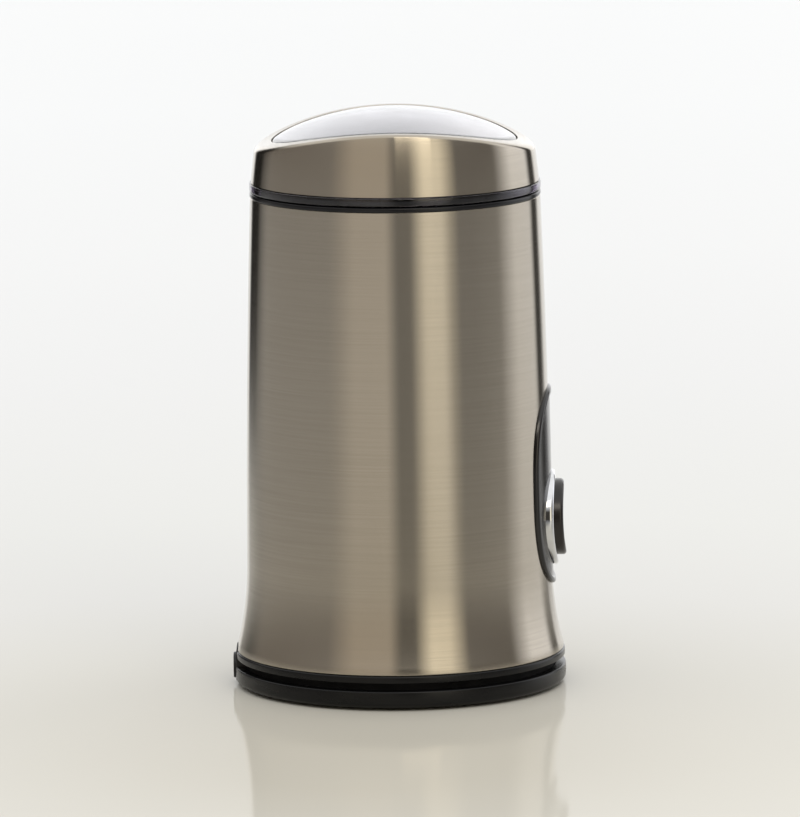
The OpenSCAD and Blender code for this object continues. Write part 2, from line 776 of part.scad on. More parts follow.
module base_screws() {
    color("#8f9296") polar(leg_ring_r, leg_angles)
        screw(screw_r, head_r, z_cover + head_h, z_sleeve + leg_bite);
}

module feet() {
    color("#2a2a2c") polar(foot_ring_r, foot_angles) rod(foot_r, 0, z_cover + foot_sink);
}

// Plan of the stator's stack: round on two sides, flat on two, with four winding slots
slot_from = 50;
slot_to = 68;
coil_gap = 0.6;
coil_edge = 0.4;
module stator_core() {
    color("#6f7479") difference() {
        translate([0, 0, z_stack]) linear_extrude(stack_h) intersection() {
            circle(r = stator_r);
            square([2 * stator_r, stator_w], center = true);
        }
        rod(rotor_r + air_gap, z_stack - 1, z_stack_top + 1);
        for (a = [slot_from, 180 - slot_to, 180 + slot_from, 360 - slot_to])
            rotate([0, 0, a]) translate([0, 0, z_stack - 1]) rotate_extrude(angle = slot_to - slot_from)
                translate([rotor_r, 0]) square([slot_r - rotor_r, stack_h + 2]);
        at_bolts() rod(screw_r + screw_gap, z_stack - 1, z_stack_top + 1);
    }
}

// A block of ring sector, from radius r0 to r1, between two angles
module sector(r0, r1, a0, a1, z0, z1) {
    rotate([0, 0, a0]) rotate_extrude(angle = a1 - a0) translate([r0, z0]) square([r1 - r0, z1 - z0]);
}

module field_coils() {
    r0 = rotor_r + air_gap + coil_gap;
    r1 = slot_r - coil_edge;
    core_gap = 0.2;
    inset = 1.5;
    a0 = slot_from + inset;
    a1 = slot_to - inset;
    color("#b87333") for (turn = [0, 180]) rotate([0, 0, turn]) difference() {
        sector(r0, r1, -a1, a1, z_stack - end_turn_h, z_stack_top + end_turn_h);
        sector(r0 - 2, r1 + 2, -a0, a0, z_stack - core_gap, z_stack_top + core_gap);
    }
}

// Two crossed arms that reach the motor's four through screws
module crossed_arms(z0) {
    reach = norm([bolt_x, bolt_y]);
    for (turn = [atan2(bolt_y, bolt_x), -atan2(bolt_y, bolt_x)])
        rotate([0, 0, turn]) translate([-reach, -arm_w / 2, z0]) cube([2 * reach, arm_w, plate_t]);
}

module upper_bracket() {
    color("#c2c4c6") difference() {
        union() {
            crossed_arms(z_upper);
            rod(bearing_boss_r, z_upper, z_upper + bearing_h);
            at_bolts() rod(post_r, z_stack_top, z_posts);
        }
        rod(bearing_r + seat_gap, z_upper - 1, z_posts + 1);
        at_bolts() rod(screw_r + screw_gap, z_stack_top - 1, z_posts + 1);
    }
}

// The carbon brushes lie along Y at the middle of the commutator
z_brush = z_comm + comm_h / 2;
brush_w = 5;
brush_h = 4;
brush_len = 11;
brush_touch = 0.1;
brush_spring_r = 1.4;
fine_wire_r = 0.25;
holder_t = 1;
holder_gap = 1.5;
holder_len = 15.5;
brush_gap = 0.2;
holder_from = comm_r + holder_gap;
holder_to = holder_from + holder_len;
holder_h = brush_h + 2 * (holder_t + brush_gap);
module lower_bracket() {
    pedestal_in = 1;
    pedestal_from = holder_from + 3;
    pedestal_to = holder_to - pedestal_in;
    pedestal_w = brush_w + 2 * pedestal_in;
    color("#c2c4c6") difference() {
        union() {
            crossed_arms(z_lower);
            translate([-pedestal_w / 2, -pedestal_to, z_lower]) cube([pedestal_w, 2 * pedestal_to, plate_t]);
            rod(bearing_boss_r, z_lower_bearing, z_lower_bearing + bearing_h);
            at_bolts() rod(post_r, z_lower, z_stack);
            for (side = [0, 180]) rotate([0, 0, side])
                translate([-pedestal_w / 2, pedestal_from, z_lower + eps])
                cube([pedestal_w, pedestal_to - pedestal_from, z_brush - holder_h / 2 - z_lower - eps]);
        }
        rod(bearing_r + seat_gap, z_lower_bearing - 1, z_lower_bearing + bearing_h + 1);
        at_bolts() rod(screw_r + screw_gap, z_lower - 1, z_stack + 1);
    }
}

module bearing(z0) {
    color("#b08d57") tube(bearing_r, shaft_r + run_gap, z0, z0 + bearing_h);
}

module upper_bearing() {
    bearing(z_upper);
}

module lower_bearing() {
    bearing(z_lower_bearing);
}

module both_brushes() {
    for (side = [0, 180]) rotate([0, 0, side]) translate([0, 0, z_brush]) children();
}

module brush_holders() {
    w = brush_w + 2 * (holder_t + brush_gap);
    color("#c9a24a") both_brushes() difference() {
        translate([-w / 2, holder_from, -holder_h / 2]) cube([w, holder_to - holder_from, holder_h]);
        translate([-brush_w / 2 - brush_gap, holder_from - holder_t, -brush_h / 2 - brush_gap])
            cube([brush_w + 2 * brush_gap, holder_len, brush_h + 2 * brush_gap]);
    }
}

module brushes() {
    color("#333336") both_brushes() translate([-brush_w / 2, comm_r + brush_touch, -brush_h / 2])
        cube([brush_w, brush_len, brush_h]);
}

module brush_springs() {
    from = comm_r + brush_touch + brush_len;
    color("#9aa0a6") both_brushes() translate([0, from, 0]) rotate([-90, 0, 0])
        coil_spring(brush_spring_r, fine_wire_r, holder_to - holder_t - from, 4);
}

module motor_screws() {
    color("#8f9296") at_bolts() screw(screw_r, head_r, z_lower, z_bowl_under - bolt_end_drop);
}

module motor_mounts() {
    color("#2a2a2c") at_bolts() tube(post_r, screw_r + screw_gap, z_posts, z_deck_under);
}

module button_panel() {
    color("#1d1d1f") difference() {
        union() {
            intersection() {
                panel_band(seat_gap, panel_field_t);
                panel_prism(0);
            }
            intersection() {
                panel_band(seat_gap, panel_rim_t);
                difference() {
                    panel_prism(0);
                    panel_prism(panel_rim_w, 1);
                }
            }
            intersection() {
                panel_band(-body_wall - panel_back_t, panel_field_t);
                panel_prism(panel_rim_w + fit_gap);
            }
            intersection() {
                rod_x_at(cup_r + cup_t, cup_back_x, button_face, button_z);
                behind_button(0);
            }
        }
        rod_x_at(cup_r, cup_end_x, far_x, button_z);
        rod_x_at(stem_r + stem_room, cup_back_x - 1, far_x, button_z);
    }
}

// The shallow hollow that runs across the button and its bezel
module dish(back) {
    translate([dish_x + dish_r - back, 0, dish_z]) rotate([90, 0, 0])
        cylinder(r = dish_r, h = 2 * far_x, center = true, $fn = 240);
}

module button_bezel() {
    color("#d8dadd") difference() {
        union() {
            difference() {
                rod_x_at(bezel_r, neck_back + 1, button_face - 1, button_z);
                behind_button(panel_field_t + seat_gap);
            }
            rod_x_at(bezel_neck_r, neck_back, button_face - button_proud, button_z);
        }
        rod_x_at(bezel_bore_r, neck_back - 1, far_x, button_z);
        dish(button_proud);
    }
}

module power_button() {
    edge = 0.8;
    skirt = 1.5;
    flange_front = neck_back - move_gap;
    lug_r = bezel_neck_r - move_gap;
    round_edge = [for (a = [0:18:90]) [button_r - edge + edge * cos(a), button_face - edge + edge * sin(a)]];
    color("#17171a") difference() {
        translate([0, 0, button_z]) rotate([0, 90, 0]) rotate_extrude() polygon(concat(
            [[0, stem_tip], [stem_r, stem_tip], [stem_r, crown_under], [button_r - skirt, crown_under],
                [button_r - skirt, flange_front - flange_t], [lug_r, flange_front - flange_t],
                [lug_r, flange_front], [button_r, flange_front]],
            round_edge, [[0, button_face]]
        ));
        dish(0);
    }
}

module button_spring() {
    color("#9aa0a6") translate([cup_end_x, 0, button_z]) rotate([0, 90, 0])
        coil_spring(button_spring_r, button_wire_r, crown_under - cup_end_x, 5);
}

module switch_body() {
    color("#2b2c30") difference() {
        translate([switch_x - switch_d, -switch_w / 2, button_z - switch_h / 2])
            cube([switch_d, switch_w, switch_h]);
        rod_x_at(plunger_r + run_gap, switch_x - switch_d + switch_wall, switch_x + 1, button_z);
    }
}

module switch_plunger() {
    color("#b3372f")
        rod_x_at(plunger_r, plunger_tip - plunger_len, plunger_tip, button_z);
}

module interlock_rod() {
    foot_x = switch_x - rod_foot_w;
    foot_y = switch_w / 2 - 2;
    color("#e3e0d8") union() {
        translate([rod_x, rod_y, 0]) rod(rod_r, z_rod_foot, z_rod_top);
        translate([rod_x, rod_y, 0]) rod(rod_stop_r, z_rod_stop, z_rod_stop + rod_stop_t);
        translate([foot_x, foot_y, z_rod_foot])
            cube([rod_x - foot_x, rod_y - foot_y, rod_foot_h]);
    }
}

module interlock_spring() {
    color("#9aa0a6") translate([rod_x, rod_y, z_rod_ledge])
        coil_spring(rod_spring_r, fine_wire_r, rod_spring_len, 5);
}

// The outlet's arch leans in with the sleeve above the base; a round boss carries the cord's bore
module cord_bush() {
    plate_x = outlet_inset - base_r;
    boss_x = -base_r - outlet_out;
    inner_x = outlet_len - base_r;
    boss_wall = 0.8;
    lean = 0.5;
    color("#1b1b1d") difference() {
        union() {
            intersection() {
                outlet_arch(0, plate_x, inner_x);
                rotate([90, 0, 0]) linear_extrude(2 * outlet_w, center = true) polygon([
                    [plate_x, 0], [plate_x, cord_z + cord_r + boss_wall], [plate_x + lean, outlet_top + 1],
                    [inner_x + 1, outlet_top + 1], [inner_x + 1, 0]
                ]);
            }
            rod_x_at(cord_r + boss_wall, boss_x, plate_x + 1, cord_z);
        }
        rod_x_at(cord_r, boss_x - 1, inner_x + 1, cord_z);
    }
}

module cord_clamp() {
    color("#2a2a2c") difference() {
        translate([clamp_x0, -clamp_w / 2, cord_z + clamp_gap]) cube([clamp_len, clamp_w, clamp_h]);
        rod_x_at(cord_r, clamp_x0 - 1, clamp_x0 + clamp_len + 1, cord_z);
        for (y = [-clamp_screw_y, clamp_screw_y])
            translate([clamp_x0 + clamp_len / 2, y, 0])
                rod(clamp_screw_r + screw_gap, cord_z - 1, cord_z + clamp_h + 1);
    }
}

module clamp_screws() {
    top = cord_z + clamp_gap + clamp_h;
    tip_gap = 0.4;
    clamp_head_r = 2.2;
    clamp_head_h = 1.4;
    color("#8f9296") for (y = [-clamp_screw_y, clamp_screw_y])
        translate([clamp_x0 + clamp_len / 2, y, 0]) {
            rod(clamp_screw_r, z_cover + floor_t / 2 + tip_gap, top);
            rod(clamp_head_r, top, top + clamp_head_h);
        }
}

module motor_shaft() {
    color("#b4b8bc") rod(shaft_r, z_shaft, z_shaft_top);
}

// The rotor's stack has twelve round slots that the windings fill
slots = 12;
wire_slot_r = 1.7;
wire_depth = 3.2;
wire_ring_r = rotor_r - wire_depth;
wire_gap = 0.1;
slot_mouth_w = 1;
bar_cut_w = 0.5;
bar_cut_d = 1;
bar_cut_low = 1.5;
module rotor_core() {
    color("#6f7479") difference() {
        rod(rotor_r, z_stack, z_stack_top);
        rod(shaft_r + seat_gap, z_stack - 1, z_stack_top + 1);
        polar(wire_ring_r, [0:360 / slots:359]) rod(wire_slot_r, z_stack - 1, z_stack_top + 1);
        for (i = [0:slots - 1]) rotate([0, 0, 360 * i / slots])
            translate([wire_ring_r, -slot_mouth_w / 2, z_stack - 1])
                cube([rotor_r, slot_mouth_w, stack_h + 2]);
    }
}

module rotor_windings() {
    outer = wire_ring_r + wire_slot_r;
    inner = shaft_r + 1;
    turn = 1.2;
    turn_end = end_turn_h - 2 * wire_gap;
    color("#c0703a") difference() {
        union() {
            for (z0 = [z_stack - end_turn_h, z_stack_top + wire_gap]) rotate_extrude() polygon([
                [inner, z0], [outer - turn, z0], [outer, z0 + turn], [outer, z0 + turn_end - turn],
                [outer - turn, z0 + turn_end], [inner, z0 + turn_end]
            ]);
            polar(wire_ring_r, [0:360 / slots:359])
                rod(wire_slot_r - wire_gap, z_stack - turn, z_stack_top + turn);
        }
        rod(inner, z_stack - 2 * end_turn_h, z_stack_top + 2 * end_turn_h);
    }
}

module commutator() {
    color("#c98a4b") difference() {
        rod(comm_r, z_comm, z_comm_top);
        rod(shaft_r + seat_gap, z_comm - 1, z_comm_top + 1);
        for (i = [0:slots - 1]) rotate([0, 0, 360 * (i + 0.5) / slots])
            translate([comm_r - bar_cut_d, -bar_cut_w / 2, z_comm + bar_cut_low])
                cube([2 * bar_cut_d, bar_cut_w, comm_h]);
    }
}

module blade_hub() {
    color("#2a2a2c") tube(shaft_r + hub_t, shaft_r + seat_gap, z_hub, z_blade);
}

// Two arms that bend up from a flat middle, each with its leading corner cut away
module blade() {
    root = 8;
    corner_x = 20;
    tip_low = 1;
    tip_high = 2.5;
    lift = (blade_len - root) * tan(blade_tilt);
    top_root = root - blade_t * tan(blade_tilt / 2);
    top_lift = lift + blade_t / cos(blade_tilt);
    color("#c6c9cc") difference() {
        intersection() {
            translate([0, 0, z_blade]) rotate([90, 0, 0]) linear_extrude(2 * blade_w, center = true)
                polygon([[-blade_len, lift], [-root, 0], [root, 0], [blade_len, lift], [blade_len, top_lift],
                    [top_root, blade_t], [-top_root, blade_t], [-blade_len, top_lift]]);
            translate([0, 0, z_blade - 1]) linear_extrude(top_lift + 2) polygon([
                for (side = [1, -1]) for (p = [[corner_x, -blade_w / 2], [blade_len + 1, -tip_low],
                    [blade_len + 1, tip_high], [root, blade_w / 2]]) side * p
            ]);
        }
        rod(shaft_r + seat_gap, z_blade - 1, z_blade + blade_t + 1);
    }
}

module blade_nut() {
    color("#a9adb1") difference() {
        union() {
            translate([0, 0, z_nut]) cylinder(r = nut_r, h = nut_h - nut_dome_h, $fn = 6);
            rod(nut_r * cos(30), z_nut, z_nut + nut_h);
        }
        rod(shaft_r + seat_gap, z_nut - 1, z_shaft_top + nut_end_gap);
    }
}

lid_cover();
lid_liner();
body_shell();
top_collar();
grinding_bowl();
bowl_seal();
motor_frame();
frame_screws();
base_ring();
base_cover();
base_screws();
feet();
stator_core();
field_coils();
upper_bracket();
lower_bracket();
upper_bearing();
lower_bearing();
brush_holders();
brushes();
brush_springs();
motor_screws();
motor_mounts();
button_panel();
button_bezel();
power_button();
button_spring();
switch_body();
switch_plunger();
interlock_rod();
interlock_spring();
cord_bush();
cord_clamp();
clamp_screws();
motor_shaft();
rotor_core();
rotor_windings();
commutator();
blade_hub();
blade();
blade_nut();
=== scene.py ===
import json
import math

import bmesh
import bpy
from mathutils import Matrix, Vector


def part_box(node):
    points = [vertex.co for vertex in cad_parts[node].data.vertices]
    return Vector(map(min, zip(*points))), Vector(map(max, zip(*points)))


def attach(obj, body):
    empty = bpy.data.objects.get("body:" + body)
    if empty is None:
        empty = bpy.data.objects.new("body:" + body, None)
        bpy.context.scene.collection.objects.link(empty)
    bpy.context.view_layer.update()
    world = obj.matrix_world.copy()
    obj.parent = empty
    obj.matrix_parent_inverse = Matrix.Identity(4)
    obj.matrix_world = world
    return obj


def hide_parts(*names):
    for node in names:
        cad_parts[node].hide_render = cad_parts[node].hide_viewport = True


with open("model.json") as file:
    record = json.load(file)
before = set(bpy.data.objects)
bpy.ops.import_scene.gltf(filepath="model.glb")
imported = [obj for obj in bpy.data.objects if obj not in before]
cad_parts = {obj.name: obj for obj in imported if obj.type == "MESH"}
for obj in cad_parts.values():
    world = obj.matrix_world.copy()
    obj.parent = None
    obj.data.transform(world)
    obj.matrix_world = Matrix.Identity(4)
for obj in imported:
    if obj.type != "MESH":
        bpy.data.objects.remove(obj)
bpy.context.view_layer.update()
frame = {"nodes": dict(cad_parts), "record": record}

scene = bpy.context.scene
nodes = frame["nodes"]
MM = 0.001
LOW, HIGH = 0, 1
X, Y, Z = 0, 1, 2


def side(node, corner, axis):
    """A side of a node's box to a tenth of a millimetre: a round solid's mesh ends just inside its size."""
    return round(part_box(node)[corner][axis] / MM, 1)


# ---- sizes in millimetres: the outer ones from the frame, and the details that its boxes don't show ----
# How far a piece that lies on another stays off it, and the gap round a piece in its opening
HAIR, FIT = 0.02, 0.15

# The base: the cover with its flange, the neck above it, and the ring with the upper flange
BASE_R, COVER_Z, RING_Z = side("base_cover", HIGH, X), side("base_cover", LOW, Z), side("base_cover", HIGH, Z)
SLEEVE_Z, TOP_Z = side("body_shell", LOW, Z), side("body_shell", HIGH, Z)
COVER_ROUND, FLOOR_T, GROOVE_Z = 1.7, 2.4, 5.9
GROOVE_R, GROOVE_WALL = 46.5, 2.6
RING_R, RING_IN_R = side("base_ring", HIGH, X), 34.0
RING_SPIGOT_H, RING_SPIGOT_T, RING_SPIGOT_GAP = 4.0, 2.2, 0.5
VENT_FROM, VENT_TO, VENT_HALF, VENT_PITCH = 2.0, 24.0, 1.1, 5.0
LEG_RING, FEET_RING, COLUMN_RING, ROD_RING = 40.0, 38.0, 38.55, 40.7
LEG_TURN, FEET_TURN, COLUMN_TURN, ROD_TURN = 45, 22, 75, 30
FOOT_R, FOOT_TOP, FOOT_WAY_TOP = 5.0, side("feet", HIGH, Z), 1.8

# The steel sleeve
WALL = 0.8
LIP_R, SLEEVE_FOOT_R = side("top_collar", HIGH, X), side("body_shell", HIGH, X)
WAIST_Z, WAIST_R, TOP_R, SWELL = 37.4, 45.5, LIP_R - 0.1, 0.42
FLARE_OUT = SLEEVE_FOOT_R - WAIST_R
FLARE_R = ((WAIST_Z - SLEEVE_Z) ** 2 + FLARE_OUT ** 2) / (2 * FLARE_OUT)
FOOT_ROLL, TOP_BREAK = 0.45, 0.15

# The collar and the lid
LID_R, LID_Z, CROWN_Z = side("lid_cover", HIGH, X), side("lid_cover", LOW, Z), side("lid_cover", HIGH, Z)
FLANGE_Z, FLANGE_TOP = side("lid_liner", LOW, Z), LID_Z - 0.1
LIP_Z, RIM_Z = 148.2, side("top_collar", HIGH, Z)
LEAN, TUCK, ARCH_R = 0.1, 0.8, 116.0
WINDOW_R, WINDOW_RISE, WINDOW_SINK, WINDOW_GAP = 36.5, 2.6, 0.15, 0.3
# The shoulder's width and height, at the arch's low sides and at its high sides
SHOULDER_LOW, SHOULDER_HIGH = (2.2, 1.5), (1.0, 0.8)
UNDER_COVER, LINER_WALL = 0.95, 1.5
# The clear moulding's painted shade, a dark tint through the flange, fades out between these heights
SHADE_TINT_FROM, SHADE_TINT_TO = FLANGE_TOP + 0.2, FLANGE_TOP + 2.5
LINER_FLANGE_R = side("lid_liner", HIGH, X)
LINER_IN_R = LID_R - UNDER_COVER - LINER_WALL
SPIGOT_R, SPIGOT_T = LINER_IN_R - 0.8, 2.4
COLLAR_WALL, COLLAR_SKIRT_H, COLLAR_WEB, COLLAR_GAP = 2.0, 8.8, 2.8, 0.3
ROD_HOLE_R = 0.95

# The panel, the chrome ring and the button, whose hollow face is part of a cylinder across them
PANEL_FOOT, PANEL_HEAD = side("button_panel", LOW, Z), side("button_panel", HIGH, Z)
PANEL_Z, PANEL_H = (PANEL_FOOT + PANEL_HEAD) / 2, PANEL_HEAD - PANEL_FOOT
PANEL_W, PANEL_POWER, PANEL_DEPTH = 2 * side("button_panel", HIGH, Y), 2.8, 2.2
RIM_W, RIM_T, FIELD_T = 1.7, 1.0, 0.4
FIELD_INSET = RIM_W + 0.6
BEZEL_R, BORE_R = side("button_bezel", HIGH, Y), 11.65
BUTTON_Z, NECK_X = side("button_bezel", LOW, Z) + BEZEL_R, side("button_bezel", LOW, X)
BUTTON_R, BUTTON_X, DISH, DISH_SHIFT = 11.4, 50.1, 0.9, 2.0
DISH_R = (BUTTON_R ** 2 + DISH ** 2) / (2 * DISH)
DISH_X = BUTTON_X - (BUTTON_R + DISH_SHIFT) ** 2 / (2 * DISH_R)
PROUD, FRONT_ROUND, NECK_R = 2.9, 1.1, 12.85
CUP_R, CUP_T, CUP_FLOOR, STEM_HOLE_R = 13.05, 1.4, 1.2, 3.0
CUP_X = NECK_X - 3.6
CROWN_T, SKIRT_T, FLANGE_T, STEM_R = 2.12, 1.5, 1.0, 2.0
FLANGE_X, BUTTON_FLANGE_R, STEM_TIP = NECK_X - 0.3, NECK_R - 0.3, CUP_X + 1.7

# The cord outlet: an arched plate that leans back at its top, with a round boss
CORD_R, CORD_Z, BOSS_R = 3.1, 5.5, 3.9
BOSS_X, OUTLET_BACK = side("cord_bush", LOW, X), side("cord_bush", HIGH, X)
OUTLET_W, OUTLET_TOP, OUTLET_LIFT = 2 * side("cord_bush", HIGH, Y), side("cord_bush", HIGH, Z), 0.8
PLATE_X, PLATE_LEAN, PLATE_ROUND = BOSS_X + 0.8, 0.5, 0.5

# Screws and springs
BOLT_X, BOLT_Y = 21.0, 16.0
SHANK_R, SHANK_WAY_R, SHANK_TIP = 1.5, 1.6, 0.6
HEAD_R, HEAD_WAY_R, HEAD_H = 2.8, 3.1, 2.0
RECESS_ARM, RECESS_HALF, RECESS_DEPTH, RECESS_TAPER = 1.5, 0.3, 1.1, 0.8
BRUSH_END, BRUSH_COIL_R, BRUSH_WIRE_R, BRUSH_TURNS = side("brushes", HIGH, Y), 1.4, 0.25, 4.0


# ---- colours and nodes ----
def linear(code):
    """A colour written as sRGB hex, in linear light."""
    parts = [int(code[i:i + 2], 16) / 255 for i in (1, 3, 5)]
    return tuple(c / 12.92 if c <= 0.04045 else ((c + 0.055) / 1.055) ** 2.4 for c in parts) + (1.0,)


def add(tree, kind, inputs=None, **settings):
    """One node with its settings, its values and its links."""
    made = tree.nodes.new(kind)
    for key, value in settings.items():
        setattr(made, key, value)
    for key, value in (inputs or {}).items():
        if isinstance(value, bpy.types.NodeSocket):
            tree.links.new(value, made.inputs[key])
        else:
            made.inputs[key].default_value = value
    return made


def empty_material(name):
    """A material with no nodes yet, and its tree."""
    made = bpy.data.materials.new(name)
    made.use_nodes = True
    made.node_tree.nodes.clear()
    return made, made.node_tree


def grain(tree, spacing, detail=3.0):
    """Noise whose features lie about spacing millimetres apart along X, Y and Z."""
    place = add(tree, "ShaderNodeTexCoord").outputs["Object"]
    stretched = add(tree, "ShaderNodeMapping", {"Vector": place, "Scale": [1 / (s * MM) for s in spacing]})
    noise = add(tree, "ShaderNodeTexNoise", {"Vector": stretched.outputs[0], "Scale": 1.0, "Detail": detail})
    return noise.outputs["Fac"]


def spread(tree, value, low, high, start=0.3, end=0.7):
    """Turns a value between start and end, where noise mostly lies, into one from low to high."""
    wanted = {"Value": value, "From Min": start, "From Max": end, "To Min": low, "To Max": high}
    return add(tree, "ShaderNodeMapRange", wanted).outputs[0]


def finish(name, colours, rough, spacing, bump_mm, tangent=None, fine=None, **constants):
    """A finish whose colour and roughness wander over the surface, with a fine relief of bump_mm."""
    made, tree = empty_material(name)
    wander = grain(tree, spacing)
    tone = add(tree, "ShaderNodeMix", {
        0: spread(tree, wander, 0.0, 1.0), 6: linear(colours[0]), 7: linear(colours[1])}, data_type="RGBA")
    lift = add(tree, "ShaderNodeBump", {
        "Height": grain(tree, fine or spacing), "Strength": 1.0, "Distance": bump_mm * MM})
    inputs = {"Base Color": tone.outputs[2], "Roughness": spread(tree, wander, rough[1], rough[0]),
              "Normal": lift.outputs[0]}
    if tangent:
        inputs["Tangent"] = add(tree, "ShaderNodeTangent", direction_type="RADIAL", axis=tangent).outputs[0]
    shader = add(tree, "ShaderNodeBsdfPrincipled", {**inputs, **constants})
    add(tree, "ShaderNodeOutputMaterial", {"Surface": shader.outputs[0]})
    return made


def striped(name, colours, rough, pitch_mm, bump_mm, **constants):
    """A finish in thin layers or turns, pitch_mm apart along Z."""
    made, tree = empty_material(name)
    place = add(tree, "ShaderNodeTexCoord").outputs["Object"]
    # A wave texture makes 20 / (2 pi) bands for each unit of its scale
    bands = add(tree, "ShaderNodeTexWave", {
        "Vector": place, "Scale": math.tau / 20 / (pitch_mm * MM), "Distortion": 0.4, "Detail": 1.0},
        bands_direction="Z")
    tone = add(tree, "ShaderNodeMix", {0: bands.outputs["Fac"], 6: linear(colours[0]), 7: linear(colours[1])},
               data_type="RGBA")
    lift = add(tree, "ShaderNodeBump", {"Height": bands.outputs["Fac"], "Distance": bump_mm * MM})
    shader = add(tree, "ShaderNodeBsdfPrincipled", {
        "Base Color": tone.outputs[2], "Normal": lift.outputs[0],
        "Roughness": spread(tree, grain(tree, (3, 3, 3)), rough[1], rough[0]), **constants})
    add(tree, "ShaderNodeOutputMaterial", {"Surface": shader.outputs[0]})
    return made


def smoky_clear():
    """SAN moulded clear with a smoky violet tint: nearly clear over the window, and painted darker through
    the flange as shade from the black collar behind it.
    """
    made, tree = empty_material("smoky_clear_san")
    rough = spread(tree, grain(tree, (12, 12, 12)), 0.07, 0.02)
    relief = add(tree, "ShaderNodeBump", {"Height": grain(tree, (9, 9, 9), 1.0), "Distance": 0.01 * MM})
    place = add(tree, "ShaderNodeSeparateXYZ", {0: add(tree, "ShaderNodeTexCoord").outputs["Object"]})
    # Painted shade: the tint is darker violet low down through the flange and fades out above it
    flange_shade_fade = spread(tree, place.outputs[2], 0.0, 1.0, SHADE_TINT_FROM * MM, SHADE_TINT_TO * MM)
    tone = add(tree, "ShaderNodeMix", {0: flange_shade_fade, 6: linear("#7B7484"), 7: linear("#EAE7EE")},
               data_type="RGBA")
    shader = add(tree, "ShaderNodeBsdfPrincipled", {
        "Base Color": tone.outputs[2], "Roughness": rough, "Normal": relief.outputs[0], "IOR": 1.57,
        "Transmission Weight": 1.0})
    add(tree, "ShaderNodeOutputMaterial", {"Surface": shader.outputs[0]})
    return made


